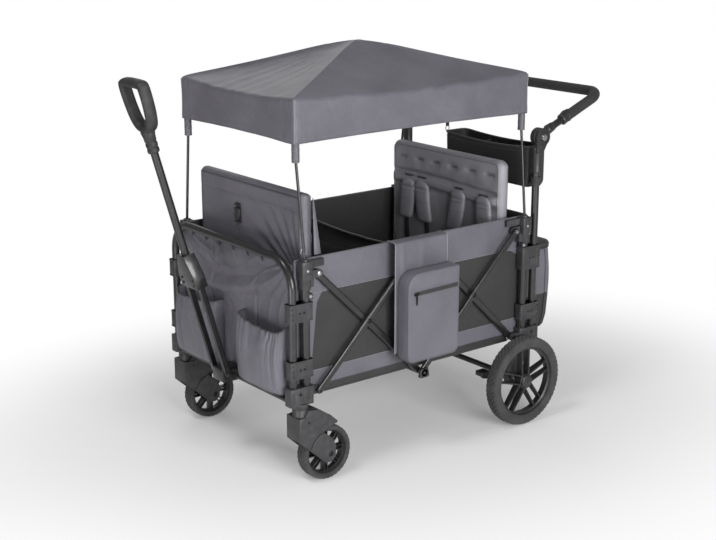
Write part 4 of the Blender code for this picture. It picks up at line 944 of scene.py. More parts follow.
for i, p in enumerate(smooth):
    ahead = (smooth[(i + 1) % len(smooth)] - smooth[i - 1]).normalized()
    outwards = Vector((ahead.y, -ahead.x))
    ring = []
    for c, s in circle(24):
        q = p + outwards * (bar * bent(c, 0.8))
        ring.append(onPull(q.y, q.x, pullLook["depth"] / 2 * bent(s, 0.8)))
    rings.append(ring)
neckBlock = steppedTube(onPull, ((0.738, 0.0175), (0.75, 0.02), (0.766, 0.015)), 32, 0.001)
grip = joined(neck, neckBlock, ringsToShape(rings, closed=True))
makePiece("pullGrip", grip, gripPlastic, "pull_grip", 40, nodes=("pull_grip",))
print("handles made")

# ---- wheels: foamed tyres with block tread, moulded rims, caster forks
tyreLook = {
    "rear": {"radius": 0.14, "width": 0.046, "thickness": 0.03, "blocks": 54, "groove": 0.0022},
    "caster": {"radius": 0.08, "width": 0.045, "thickness": 0.014, "blocks": 34, "groove": 0.0016},
}
# Half a tyre's profile: place across, drop, and the row of tread blocks (-1 is bare, -2 is a groove)
treadProfile = (
    (-0.74, 1.0, -1), (-0.9, 0.72, -1), (-0.965, 0.5, -1), (-0.985, 0.36, -1), (-0.93, 0.2, 0), (-0.82, 0.09, 0),
    (-0.6, 0.025, 0), (-0.56, 0.022, -2), (-0.5, 0.022, -2), (-0.46, 0.018, 1), (-0.24, 0.0, 1), (-0.2, 0.0, -2),
    (-0.12, 0.0, -2), (-0.08, 0.0, 2),
)


def tyreShape(look, centre, y):
    profile = treadProfile + tuple((-width, drop, row) for width, drop, row in treadProfile[::-1])
    rings = []
    for k, (c, s) in enumerate(circle(look["blocks"] * 4)):
        ring = []
        for width, drop, row in profile:
            size = look["radius"] - drop * look["thickness"]
            if row == -2 or (row >= 0 and (k + (2 if row == 1 else 0)) % 4 == 0):
                size -= look["groove"]
            ring.append((centre[0] + size * c, y + width * look["width"] / 2, centre[1] + size * s))
        rings.append(ring)
    return ringsToShape(rings, closed=True)


def spokeShape(angle, offset, centre, y, near, far, look, skew):
    along = Vector((cos(angle), sin(angle)))
    side = Vector((-along.y, along.x))
    rings = []
    for k in range(7):
        t = k / 6
        width, depth = (pair[0] + (pair[1] - pair[0]) * t for pair in (look["spoke"], look["depth"]))
        width += 0.0035 * max(0, t - 0.8) * 5
        middle = Vector(centre) + along * (near + (far - near) * t) + side * (offset + skew * t)
        ring = []
        for c, s in circle(16):
            p = middle + side * (width / 2 * bent(c, 0.6))
            ring.append((p.x, y + depth / 2 * bent(s, 0.6), p.y))
        rings.append(ring)
    return ringsToShape(rings)


rimLook = {
    "rear": {
        "outer": 0.1097,
        "band": 0.009,
        "width": 0.032,
        "hub": 0.0245,
        "spokes": 5,
        "gap": 0.026,
        "spoke": (0.0075, 0.0065),
        "depth": (0.028, 0.02),
        "skew": 0.003,
    },
    "caster": {
        "outer": 0.0657,
        "band": 0.007,
        "width": 0.03,
        "hub": 0.017,
        "spokes": 8,
        "gap": 0.0092,
        "spoke": (0.0032, 0.003),
        "depth": (0.024, 0.018),
        "skew": 0.001,
    },
}


def rimShape(look, centre, y):
    half, outer, band, hub = look["width"] / 2, look["outer"], look["band"], look["hub"]
    side = [(outer, y + half), (outer - 0.0025, y + half), (outer - 0.004, y + half - 0.004)]
    side.append((outer - band, y + half - 0.007))
    profile = [(outer, y - half)] + side + [(r, 2 * y - level) for r, level in side[:0:-1]]
    hubProfile = [(hub - 0.002, y - half), (hub, y - half + 0.002), (hub, y + half - 0.002), (hub - 0.002, y + half)]
    shapes = [turned(profile, "Y", centre, 96, ring=True), turned(hubProfile, "Y", centre, 48)]
    for i in range(look["spokes"]):
        angle = 2 * pi * i / look["spokes"] + pi / 2
        for offset in (-look["gap"] / 2, look["gap"] / 2):
            skew = look["skew"] if offset > 0 else -look["skew"]
            near = sqrt(max(hub**2 - offset**2, 1e-6)) - 0.004
            shapes.append(spokeShape(angle, offset, centre, y, near, outer - band * 0.6, look, skew))
    return joined(*shapes)


def wheel(hand, kind, centre, y):
    body, title = f"{hand}_{kind}_wheel", f"{hand}{kind.capitalize()}"
    tyre, rim = tyreShape(tyreLook[kind], centre, y), rimShape(rimLook[kind], centre, y)
    makePiece(f"{title}Tyre", tyre, tyreRubber, body, 30, nodes=(f"{hand}_{kind}_tyre",))
    makePiece(f"{title}Rim", rim, rimNylon, body, 32, nodes=(f"{hand}_{kind}_rim",))


wheelLook = {"rear": (0.372, 0.14), "rearOut": 0.357, "caster": (-0.4355 + 0.081, 0.08), "capReach": 0.0205}
for side, hand in sides:
    centre, y = wheelLook["rear"], side * wheelLook["rearOut"]
    wheel(hand, "rear", centre, y)
    face = y + side * rimLook["rear"]["width"] / 2
    turns = [2 * pi * i / 5 + pi / 2 for i in range(5)]
    reach = wheelLook["capReach"]
    five = [(centre[0] + reach * cos(a), centre[1] + reach * sin(a)) for a in turns]
    cap = slab(roundedOutline(five, 0.006, 5), "Y", *skinOn(face, side, 0.001, 0.0048), 0.002, 5)
    boss = stud(centre, face, side, 0.0046, 0.0115, 0.0024, 32)
    makePiece(f"{hand}RearHubCap", joined(cap, boss), darkNylon, f"{hand}_rear_wheel", 32)
    wheel(hand, "caster", wheelLook["caster"], side * track)

# Each fork's cover plate follows the wheel's circle above and runs down round the hub
forkLook = {
    "outer": 0.0255 + 0.005,
    "arc": 0.072,
    "bolt": (-0.428, 0.19),
    "edge": (
        (-0.019, 0.0635), (0.007, 0.0425), (0.018, 0.0175), (0.0165, -0.0105), (0.003, -0.0222), (-0.014, -0.0222),
    ),
    "crown": [(-0.452, 0.157), (-0.398, 0.16), (-0.372, 0.176), (-0.4, 0.208), (-0.448, 0.204)],
}
centre = wheelLook["caster"]
swing = [radians(158 - 4.7 * k) for k in range(11)]
arc = [(centre[0] + forkLook["arc"] * cos(a), centre[1] + forkLook["arc"] * sin(a)) for a in swing]
plate = (arc + [(centre[0] + dx, centre[1] + dz) for dx, dz in forkLook["edge"]])[::-1]
crown = roundedOutline(forkLook["crown"], 0.006, 5)
for side, hand in sides:
    body = f"{hand}_caster"
    extras, bolts, beads = [], [], []
    for face in (-1, 1):
        y = side * track + face * forkLook["outer"]
        # a bead along the cover's arc, its lighter colour a painted highlight on the cover's edge
        beads.append(tube([(x, y + face * 0.002, z) for x, z in arc], 0.0015, 12, roundEnds=0.001))
        extras.append(stud(centre, y, face, 0.0021, 0.0135, 0.0012, 28))
        extras.append(slab(plate, "Y", *skinOn(y, face, 0.001, 0.0022), 0.0014, 4))
        extras.append(slab(crown, "Y", *skinOn(y, face, 0.001, 0.0016), 0.0012, 4))
        bolts.append(stud(centre, y, face, 0.0038, 0.0078, 0.0028, 24))
        bolts.append(stud(forkLook["bolt"], y, face, 0.0014, 0.0035, 0.0014, 16))
    softened(f"{hand}CasterFork", f"{hand}_caster_fork", greyNylon, body, 0.0018, extras)
    makePiece(f"{hand}CasterBolts", joined(*bolts), darkRivet, body, 50)
    makePiece(f"{hand}CasterCoverBeads", joined(*beads), highlightGreyPaint, body, 50)

halfAxle = [(0.006, 0.0), (0.006, 0.3158), (0.01, 0.3158), (0.01, 0.3405), (0.006, 0.3407), (0.006, 0.3735)]
axle = turned([(r, -y) for r, y in halfAxle[:0:-1]] + halfAxle[1:], "Y", wheelLook["rear"], 28)
makePiece("rearAxle", axle, zinc, "rear_frame", 35, nodes=("rear_axle",))
capProfile = ((0.0215, 0.0), (0.021, 0.003), (0.0165, 0.0062), (0.006, 0.0068), (0.005, 0.006))
caps = [
    turned([(r, side * (0.3733 + out)) for r, out in capProfile], "Y", wheelLook["rear"], 40) for side, hand in sides
]
makePiece("rearAxleCaps", joined(*caps), darkNylon, "rear_frame", 35)
ribs = []
for side, hand in sides:
    y = across(side, 0.259, 0.287)
    for k in range(5):
        x = 0.269 + 0.006 * k
        ribs.append(block((x, y[0], 0.1664), (x + 0.0025, y[1], 0.1682), 0.0008, "Y", 0.0004))
softened("brakeBar", "brake_pedal_bar", darkNylon, "brake", 0.0016, ribs)
print("wheels and casters made")

# ---- tub: side walls with bands and gussets, skirt, floor cloth, rear wall, net pocket
wallLook = {
    "low": 0.272,
    "high": 0.64,
    "front": -0.44,
    "rear": 0.444,
    "bandLow": 0.541,
    "hemLow": 0.318,
    "ripple": 0.0022,
    "thick": 0.0016,
    "skin": 0.0007,
}


# Where the side cloth hangs: straight under the rail, hollow between the links, with folds out of the corners
def wallOffset(x, z, side):
    along = (x - wallLook["front"]) / (wallLook["rear"] - wallLook["front"])
    up = (z - wallLook["low"]) / (wallLook["high"] - wallLook["low"])
    free = max(0.0, sin(pi * min(1, max(0, up)))) ** 0.7 * sin(pi * min(1, max(0, along))) ** 0.4
    fold = 0.5 + 0.5 * sin(23 * x + 9 * sin(7 * z + side) + 30 * z * (0.5 - along) * 2)
    broad = 0.5 + 0.5 * wrinkle(x, side * 2.0, z, 0.11, 3.7)
    return free * wallLook["ripple"] * min(1.0, 0.45 * fold + 0.75 * broad)


def wallPatch(outline, side, lift, rows, columns):
    outline = [np.array(c, float) for c in outline]

    def wallPoint(u, v):
        low, high = outline[0] * (1 - u) + outline[1] * u, outline[3] * (1 - u) + outline[2] * u
        x, z = low * (1 - v) + high * v
        return x, side * (place["wallOut"] - wallOffset(x, z, side) + lift), z

    return gridOf(rows, columns, wallPoint)


front, rear, bandLow, hemLow = (wallLook[key] for key in ("front", "rear", "bandLow", "hemLow"))
gussetTop = bandLow + 0.001
frontGusset = [(front + 0.002, 0.512), (front + 0.078, 0.512), (front + 0.098, gussetTop), (front + 0.002, gussetTop)]
rearGusset = [(rear - 0.016, 0.51), (rear - 0.004, 0.51), (rear - 0.004, gussetTop), (rear - 0.08, gussetTop)]
frontEdge = [(front + 0.001, 0.318), (front + 0.056, 0.318), (front + 0.078, 0.512), (front + 0.001, 0.512)]
trimPlan = (
    ("TopBand", boxOutline(front + 0.002, rear - 0.004, bandLow, 0.6412), 12, 120),
    ("FrontGusset", frontGusset, 10, 14),
    ("RearGusset", rearGusset, 10, 14),
    ("LowBand", boxOutline(front + 0.002, rear - 0.004, 0.2725, hemLow), 8, 120),
    ("FrontEdge", frontEdge, 24, 12),
    ("RearEdge", boxOutline(rear - 0.016, rear - 0.003, 0.318, 0.51), 16, 4),
)
# The cords of each band: name, row of the grid, place outwards, radius, sides, material
bandCords = {
    "TopBand": (
        ("TopBandFold", 0, 0.0002, 0.0013, 8, pipingCord), ("RailBinding", -1, -0.0006, 0.0022, 10, sleeveCloth),
    ),
    "LowBand": (("LowBandFold", -1, 0.0002, 0.001, 8, pipingCord), ("LowBandFoot", 0, 0.0, 0.0013, 8, bindingTape)),
}
for side, hand in sides:
    body, flip = "front_posts", side > 0
    grid = wallPatch(boxOutline(front, rear, wallLook["low"], wallLook["high"]), side, 0.0, 40, 150)
    wall = blackPiece(f"{hand}SideWall", grid, blackCloth, body, wallLook["thick"], flip, ("fabric_tub",))
    trims = []
    for label, outline, rows, columns in trimPlan:
        patch = wallPatch(outline, side, wallLook["skin"], rows, columns)
        trims.append(clothPiece(f"{hand}{label}", patch, slateCloth, body, 0.0006, flip))
        for drop in (0, 4) if label == "TopBand" else ():  # in mm
            seam = gridLine(patch, row=0, lift=(0, side * 0.0002, 0.0025 + drop / 1000))
            trims.append(stitches(f"{hand}TopBandStitch{drop}", seam, body))
        for title, row, out, radius, sidesCount, material in bandCords.get(label, ()):
            seam = gridLine(patch, row=row, lift=(0, side * out, 0))
            trims.append(cord(f"{hand}{title}", seam[::2], radius, sidesCount, material, body))

    # the black skirt between the wall's foot and the cloth floor, and the piping that carries it
    def skirtPoint(u, v):
        return -0.372 + 0.744 * u, side * (0.2822 - 0.0016 * v - sin(pi * v) * 0.0012), 0.273 - 0.0235 * v

    trims.append(blackPiece(f"{hand}Skirt", gridOf(9, 90, skirtPoint), blackCloth, body, 0.0016, not flip))
    edge = [Vector((-0.372 + 0.744 * k / 40, side * 0.2812, 0.2492)) for k in range(41)]
    trims.append(cord(f"{hand}SkirtPiping", edge, 0.0021, 10, bindingTape, body))
    for piece in [wall] + trims:
        gathers(piece)


# The cloth floor is sewn under the two boards and lifts with them; its middle is a separate strip on the middle strap
def floorPart(name, low, high, columns, body):
    def floorPoint(u, v):
        x, y = low + (high - low) * u, -0.279 + 0.558 * v
        return x, y, 0.2518 - 0.0012 * (0.5 + 0.5 * wrinkle(x, y, 0, 0.12, 9.0))

    return blackPiece(name, gridOf(40, columns, floorPoint), blackCloth, body, 0.002)


for end, hand in ends:
    low, high = across(end, 0.081, 0.3815)
    part = floorPart(f"{hand}FloorCloth", low, high, 34, f"{hand}_board")
middleCloth = floorPart("middleFloorCloth", -0.0795, 0.0795, 20, "middle_strap")
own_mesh(middleCloth)


# The rear wall hangs from the rear posts, grey over black like the sides
def rearWallGrid(lift, low, high, rows):
    def rearWallPoint(u, v):
        y, z = -0.2784 + 0.5568 * u, low + (high - low) * v
        free = max(0.0, sin(pi * (y + 0.2784) / 0.5568)) ** 0.5
        free *= sin(pi * (z - 0.26) / 0.382) ** 0.7
        return 0.4436 - 0.003 * free * (0.5 + 0.5 * wrinkle(1.0, y, z, 0.1, 5.1)) + lift, y, z

    return gridOf(rows, 60, rearWallPoint)


rearWall = blackPiece("rearWall", rearWallGrid(0.0, 0.262, 0.64, 34), blackCloth, "rear_posts", 0.0022)
rearBandGrid = rearWallGrid(0.0007, 0.545, 0.6408, 12)
rearBand = clothPiece("rearTopBand", rearBandGrid, slateCloth, "rear_posts", 0.0006)
seam = gridLine(rearBandGrid, row=-1, lift=(-0.0006, 0, 0))
rearEdge = cord("rearRailBinding", seam, 0.0022, 10, sleeveCloth, "rear_posts")


# Net pocket on the far wall's inner side, between the front bench and the divider
def netPoint(u, v):
    bulge = 0.0042 * sin(pi * u) ** 0.6 * sin(pi * (0.15 + 0.7 * v))
    return -0.235 + 0.215 * u, 0.2784 - bulge, 0.44 + 0.165 * v - 0.01 * sin(pi * u) * v


netGrid = gridOf(14, 30, netPoint)
net = blackPiece("farNetPocket", netGrid, blackNet, "front_posts", 0.0008, True)
netHem = cord("farNetElastic", gridLine(netGrid, row=-1), 0.003, 10, bindingTape, "front_posts")
gathers(net)
gathers(netHem)

# ---- front panel: tied to the arch, pulled into folds under it, with a loose swath above the pockets
panelLook = {"x": -0.444, "half": 0.2815, "low": 0.262, "high": 0.634}


# How far the cloth stands out (+) or leans in (-): it falls back behind the arch, rolls out in a slack swath
# above the pockets, and long folds run down from the arch's two shoulders
def panelOffset(y, z):
    up = (z - panelLook["low"]) / (panelLook["high"] - panelLook["low"])
    edge = abs(y) / panelLook["half"]
    free = max(0.0, 1 - edge**8) * max(0.0, 1 - max(0.0, (up - 0.9) / 0.1)) ** 0.7 * min(1.0, up / 0.12)
    fan = 0.0
    for side in (-1, 1):
        dy, dz = side * 0.29 - y, 0.665 - z
        angle, far = atan2(dy * side, dz + 1e-6), hypot(dy, dz)
        bend = sin(angle * 13 + 1.3 * side + 4.0 * far + 0.9 * sin(far * 26))
        fan += (1 - 2 * abs(bend) ** 0.75) * bell(far - 0.12, 0.13)
    line = 0.497 - 0.17 * (y - 0.04) + 0.75 * (y - 0.01) ** 2
    swath = bell(z - line, 0.019) * max(0.0, 1 - (y / 0.24) ** 4)
    valley = bell(z - line - 0.046, 0.023) * max(0.0, 1 - (y / 0.25) ** 4)
    ridge = 1 - 2.2 * abs(wrinkle(0.4, y, z * 0.8, 0.07, 1.9))
    crumple = 1.6 * ridge + 1.8 * wrinkle(0.4, y * 2.0, z, 0.034, 6.3)
    seam = sum(bell(y - spot, 0.005) for spot in (-0.112, 0.112)) * (1 - 0.8 * swath)
    value = 0.8 + 4.6 * fan + 10.5 * swath - 15.0 * valley + 0.8 * crumple - 5.0 * seam
    return free * min(9.6, max(-10.5, value)) / 1000


def panelPoint(u, v):
    y = -panelLook["half"] + 2 * panelLook["half"] * u
    z = panelLook["low"] + (panelLook["high"] - panelLook["low"]) * v
    z -= max(0.0, abs(y) - 0.215) ** 2 / 0.0665 * 0.055 * v**5
    return panelLook["x"] - panelOffset(y, z), y, z


panelGrid = gridOf(120, 200, panelPoint)
panel = clothPiece("frontPanel", panelGrid, slateCloth, "front_posts", 0.0022, True, ("front_pocket_panel",))
tabs = []
for k in range(7):
    y = -0.216 + 0.072 * k
    tabs.append(tube([(-0.4445, y, 0.615), (-0.449, y, 0.6315), (-0.447, y, 0.6385)], 0.0042, 8, 0.3))
makePiece("archTabs", joined(*tabs), webbing, "front_frame", 60)
seam = gridLine(panelGrid, row=0, lift=(-0.0004, 0, 0))
panelFoot = cord("panelFootBinding", seam, 0.0022, 10, bindingTape, "front_posts")
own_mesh(panel)
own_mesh(panelFoot)

# ---- two gathered pockets on the panel: the elastic pulls the mouth in and the cloth falls in soft folds
pocketLook = {"near": 0.057, "far": 0.2735, "back": -0.4465, "front": -0.4985, "low": 0.262, "high": 0.4545}


# t runs round the pocket from its inner to its outer seam, v from the foot to the mouth
def pocketPoint(t, v, side):
    angle = pi * t
    cosine, sine = cos(angle), sin(angle)
    near, far, back, front = (pocketLook[key] for key in ("near", "far", "back", "front"))
    out = sine**0.42
    belly = 0.9 + 0.1 * sin(pi * min(1, v * 1.15)) - 0.1 * max(0, v - 0.55) ** 2 * 4
    tuck = max(0.0, (v - 0.82) / 0.18)
    ruff = 0.002 * tuck * sin(96 * t + 2.0 * sin(9 * t)) * out
    hang = t + 0.035 * sin(3.2 * v + side) * (1 - v)
    broad = 1 - 2 * abs(sin(4.6 * pi * hang + 0.6 * side)) ** 0.75
    narrow = 1 - 2 * abs(sin(8.3 * pi * hang - 0.9 * v)) ** 0.7
    folds = (0.0046 * broad * (0.2 + 0.8 * v) + 0.0026 * narrow * v) * (1 - 0.75 * tuck) * out
    dent = 0.0034 * wrinkle(side * 0.7, t * 0.5, v * 0.35, 0.16, 8.0) * out
    foot = 1 - 0.1 * max(0.0, 1 - v / 0.1) ** 2
    x = back - (back - front) * out * belly * foot * (1 - 0.05 * tuck) - ruff + folds + dent
    y = side * ((near + far) / 2 - (far - near) / 2 * bent(cosine, 0.62) * (0.985 + 0.015 * belly))
    mouth = (pocketLook["high"] - pocketLook["low"]) * (1 - 0.075 * sine**0.8) + 0.006 * sin(2 * angle)
    return max(x, front - 0.007), y, pocketLook["low"] + 0.0012 + mouth * v


for side, hand in sides:
    body, flip = "front_posts", side > 0
    grid = gridOf(56, 200, lambda t, v: pocketPoint(t, v, side))
    nodes = (f"{hand}_front_pocket",)
    pocket = clothPiece(f"{hand}PocketCloth", grid, slateCloth, body, 0.0011, flip, nodes)
    elastic = cord(f"{hand}PocketElastic", gridLine(grid, row=-1), 0.0026, 10, bindingTape, body, 0.7)
    gather = stitches(f"{hand}PocketStitch", gridLine(grid, row=-5, lift=(-0.0006, 0, 0)), body)
    hem = cord(f"{hand}PocketFoot", gridLine(grid, row=0, lift=(-0.0003, 0, 0.0008)), 0.0014, 8, bindingTape, body)
    bottom = [[(x + (pocketLook["back"] - x) * j / 8, y, z + 0.0006) for x, y, z in grid[0]] for j in range(9)]
    base = clothPiece(f"{hand}PocketBase", np.array(bottom), slateCloth, body, 0.001, flip)
    trims = [elastic, gather, hem, base]
print("tub, panel and pockets made")

# ---- saddle pocket: a strap over the near rail with a zipped bag on it
saddleLook = {
    "front": -0.1125,
    "rear": 0.0825,
    "skin": 0.0022,
    "foot": 0.3185,
    "rail": 0.634,
    "out": 0.3188,
    "in": 0.2762,
    "drop": 0.589,
}


# The strap's path (y, z): up the outside, over the rail and a little way down inside
def saddleRows():
    outside, inside, foot, rail = (saddleLook[key] for key in ("out", "in", "foot", "rail"))
    path = [(-outside, foot + (rail - foot) * k / 33) for k in range(34)]
    centre, half = (outside + inside) / 2, (outside - inside) / 2
    for k in range(1, 12):
        a = pi * k / 12
        path.append((-centre - half * bent(cos(a), 0.5), 0.6345 + 0.0115 * sin(a) ** 0.6))
    return path + [(-inside, rail - (rail - saddleLook["drop"]) * k / 5) for k in range(6)]


def saddlePoint(u, y, z):
    x = saddleLook["front"] + (saddleLook["rear"] - saddleLook["front"]) * u
    free = 0.0
    if z > 0.555 and y < -0.29:
        free = sin(pi * u) ** 0.5 * min(1, (0.64 - z) / 0.02 if z < 0.64 else 0)
    fold = bell(u - 0.13 - 0.3 * (0.64 - z), 0.05)
    fold += 0.55 * bell(u - 0.55 + 0.6 * (0.64 - z), 0.06)
    return x, y - 0.0032 * max(0, free) * (fold + 0.4 * wrinkle(x, 0, z, 0.04, 2.2)), z


body = "middle_strap"
grid = np.array([[saddlePoint(i / 59, y, z) for i in range(60)] for y, z in saddleRows()])
strap = clothPiece("saddleStrap", grid, slateCloth, body, saddleLook["skin"], False, ("side_pocket",))
trims = []
for label, column in (("Front", 0), ("Rear", -1)):
    trims.append(cord(f"strap{label}Piping", gridLine(grid, column=column), 0.0019, 10, pipingCord, body))
bagLook = {"low": 0.297, "high": 0.56, "front": -0.102, "rear": 0.09, "back": -0.3212, "zip": 0.502}
front, rear, low, high = (bagLook[key] for key in ("front", "rear", "low", "high"))
fine = filled(roundedOutline(boxOutline(front, rear, low, high), [0.022, 0.02, 0.006, 0.044], 8), 0.008)
wallSteps = (
    (bagLook["back"], 0.0), (-0.33, -0.0012), (-0.341, -0.0018), (-0.352, -0.0014), (-0.3595, 0.0), (-0.3625, 0.001),
    (-0.364, 0.003),
)
rings = [[(x, y, z) for x, z in insetOutline(fine, inset)] for y, inset in wallSteps]
inner = insetOutline(fine, 0.005)
middle = Vector(((front + rear) / 2, (low + high) / 2))
for share in (1.0, 0.93, 0.84, 0.72, 0.56, 0.38, 0.18, 0.04):  # the face's rings, shrunk about its middle
    ring = []
    for point in inner:
        x, z = middle + (Vector(point) - middle) * share
        bulge = 0.0014 * (1 - share**2)
        crease = 0.001 * wrinkle(x, 1.0, z, 0.045, 7.0) * (1 - share**4)
        groove = 0.0022 * bell(z - bagLook["zip"] - 0.02 * x, 0.0045) * (1 if x > -0.082 else 0.2)
        ring.append((x, min(-0.3615, -0.3645 - bulge + crease) + groove, z))
    rings.append(ring)
bag = makePiece("saddleBag", ringsToShape(rings), slateCloth, body, 60)
for title, y, inset, radius, sidesCount, material in (
    ("bagFacePiping", -0.3632, 0.0012, 0.0019, 10, sleeveCloth),
    ("bagBackBinding", bagLook["back"] - 0.001, -0.0004, 0.0017, 8, bindingTape),
):
    edge = [(x, y, z) for x, z in insetOutline(fine, inset)]
    trims.append(cord(title, edge + edge[:2], radius, sidesCount, material, body))


# The zip: its tape, a row of teeth in two steps, and the puller with its hanging tab
z0 = bagLook["zip"]
start, finish = Vector((-0.08, -0.3652, z0 - 0.0015)), Vector((0.0835, -0.3652, z0 + 0.0015))
normal = Vector((0, -1, 0))
along = (finish - start).normalized()
upwards = normal.cross(along)


def zipPoint(u, v):
    return tuple(start + (finish - start) * u + upwards * (v - 0.5) * 0.011 + normal * 0.0006)


zipGrid = gridOf(5, 21, zipPoint)
trims.append(makePiece("saddleZipTape", shell(zipGrid, 0.0009, True), webbing, body, 60, uv=gridUv(zipGrid)))
teeth = []
for k in range(int((finish - start).length / 0.0032)):
    p = start + along * (0.0032 * (k + 0.5)) + upwards * (0.0006 if k % 2 else -0.0006) + normal * 0.0009
    teeth.append(tube([p - upwards * 0.0017, p + upwards * 0.0017], 0.00085, 6))
trims.append(makePiece("saddleZipTeeth", joined(*teeth), darkNylon, body, 60))
p = start + along * 0.006 + normal * 0.0024
slider = tube([p - along * 0.006, p + along * 0.006], [0.0036, 0.0044], 10, 0.6, 0.002)
down, q = Vector((0, 0, -1)), p + normal * 0.0022
tab = tube([q, q + down * 0.008, q + down * 0.03], [0.0014, 0.0034, 0.0028], 8, 0.45, 0.001)
trims.append(makePiece("saddleZipPuller", joined(slider, tab), darkRivet, body, 50))
for title, startX, length, y, z in (
    ("", -0.094, 0.176, -0.3663, z0 + 0.0088), ("Low", -0.08, 0.16, -0.366, z0 - 0.0098)
):
    line = [(startX + length * k / 40, y, z + 0.003 * k / 40) for k in range(41)]
    trims.append(stitches(f"saddleZipStitch{title}", line, body))


# Black divider across the tub, hung from both rails and slack in the middle
def dividerPoint(u, v):
    y, slack = -0.2765 + 0.553 * u, sin(pi * u)
    x = 0.0085 * sin(pi * v) * slack + 0.0035 * wrinkle(0.2, y, v * 0.06, 0.07, 4.0) * slack
    return x, y, 0.545 + 0.055 * v - 0.012 * slack * v


grid = gridOf(16, 60, dividerPoint)
divider = blackPiece("tubDivider", grid, liningCloth, body, 0.0022)
hem = cord("dividerHem", gridLine(grid, row=-1), 0.0042, 12, bindingTape, body)
foot = cord("dividerFoot", gridLine(grid, row=0), 0.0028, 10, bindingTape, body)

# ---- rear bag: grey upper part, black lower third, a zipped lid with a black rim
rearLook = {
    "half": 0.2655,
    "low": [(0.449, 0.259), (0.54, 0.259), (0.556, 0.2665), (0.569, 0.298), (0.5775, 0.37)],
    "high": [(0.578, 0.369), (0.581, 0.41), (0.58, 0.45), (0.574, 0.5), (0.571, 0.515)],
    "gussetZ": (0.26, 0.2665, 0.298, 0.37, 0.41, 0.45, 0.515),
    "gussetX": (0.535, 0.548, 0.56, 0.567, 0.569, 0.568, 0.56),
}


# The bag's outline at one place across: fuller in the middle, drawn in at its two ends
def rearBagRing(y, profile, inset):
    share = abs(y) / rearLook["half"]
    pull = 1 - 0.1 * share**4
    ring = []
    for x, z in profile:
        swell = 0.0038 * sin(pi * min(1, max(0, (z - 0.26) / 0.27))) * (1 - share**2)
        fold = 0.003 * wrinkle(0.3, y, z, 0.05, 2.6) + 0.0026 * sin(44 * y + 5 * z) * (0.3 + 0.7 * (z - 0.26) / 0.28)
        depth = (x - 0.448) * pull
        ring.append((0.448 + max(0.0, depth - inset) + (swell + fold) * min(1, depth / 0.08), y, z))
    return ring


def rearBagPart(profile):
    steps = filled(profile, 0.009, closed=False)
    endColumns = [0.98, 0.993, 0.9985, 1.0]
    rings = []
    for u in [-u for u in endColumns[::-1]] + list(np.linspace(-0.96, 0.96, 64)) + endColumns:
        inset = 0.016 * (1 - sqrt(max(0.0, 1 - max(0.0, (abs(u) - 0.94) / 0.06) ** 2)))
        rings.append(rearBagRing(u * rearLook["half"], steps, inset))
    return np.array(rings).transpose(1, 0, 2)


body = "rear_frame"
highGrid = rearBagPart(rearLook["high"])
bagLow = blackPiece("rearBagLower", rearBagPart(rearLook["low"]), blackCloth, body, 0.0014, True, ("rear_bag",))
bagHigh = clothPiece("rearBagUpper", highGrid, slateCloth, body, 0.0014, True)
seam = gridLine(highGrid, row=0, lift=(0.0006, 0, 0))
trims = [cord("rearBagJoin", seam[::2], 0.0012, 8, pipingCord, body)]
plan = filled(roundedOutline(boxOutline(0.448, 0.576, -0.266, 0.266), [0.006, 0.03, 0.03, 0.006], 7), 0.012)
lidSteps = (
    (0.002, 0.513), (-0.001, 0.515), (-0.0016, 0.523), (-0.0016, 0.53), (0.0005, 0.5345), (0.004, 0.5368),
    (0.014, 0.5385), (0.03, 0.5398), (0.046, 0.54),
)
rings = [
    [(x, y, z + 0.0012 * wrinkle(x, y, 0, 0.05, 1.0)) for x, y in insetOutline(plan, inset)] for inset, z in lidSteps
]
lid = makePiece("rearBagLid", ringsToShape(rings), blackCloth, body, 55)
edge = [(x, y, 0.52) for x, y in insetOutline(plan, -0.0019) if x > 0.45]
start = max(range(len(edge)), key=lambda k: (Vector(edge[k]) - Vector(edge[k - 1])).length)
edge = edge[start:] + edge[:start]
trims.append(makePiece("rearZipTeeth", stitchRow(edge, 0.0036, 0.0022, 0.0011), darkNylon, body, 60))
trims.append(cord("rearLidBinding", [(x, y, 0.527) for x, y, z in edge], 0.0015, 8, bindingTape, body))
# closed ends of the bag, each a gusset that bows a little outwards
for side, hand in sides:
    def gussetPoint(u, v):
        z = 0.26 + 0.254 * v
        reach = np.interp(z, rearLook["gussetZ"], rearLook["gussetX"])
        bow = 0.003 * sin(pi * u) * sin(pi * v)
        return 0.4485 + (reach - 0.4485) * u, side * (rearLook["half"] - 0.0015 + bow * 0.3), z

    gusset = gridOf(34, 16, gussetPoint)
    for label, part, cloth in (("Low", gusset[:15], blackCloth), ("High", gusset[14:], slateCloth)):
        trims.append(clothPiece(f"{hand}BagGusset{label}", part, cloth, body, 0.0014, side > 0))
backGrid = gridOf(13, 21, lambda u, v: (0.4492, -0.264 + 0.528 * u, 0.26 + 0.255 * v))
trims.append(blackPiece("rearBagBack", backGrid, blackCloth, body, 0.0014))

# ---- organizer: an open black bag slung between the push tubes
slingLook = {
    "back": 0.4475,
    "front": 0.534,
    "near": -0.2715,
    "far": 0.099,
    "low": 0.723,
    "high": 0.8485,
    "sag": 0.009,
}


def slingPoint(x, y, v):
    near, far, back, front = (slingLook[key] for key in ("near", "far", "back", "front"))
    share = 1 - ((2 * y - near - far) / (far - near)) ** 2
    wall = 1.0 if abs(x - back) < 0.004 or abs(x - front) < 0.004 else 0.3
    foot = max(0.0, 1 - v / 0.12) ** 2
    swell = 0.0028 * sin(pi * min(1, v * 1.1)) * wrinkle(x, y, v * 0.1, 0.06, 5.5) * wall
    inward = 1 if x > 0.49 else -1
    middle = (near + far) / 2
    z = slingLook["low"] + (slingLook["high"] - slingLook["low"]) * v - slingLook["sag"] * share * wall * v
    return x - inward * (0.006 * foot + swell), middle + (y - middle) * (1 - 0.015 * foot), z


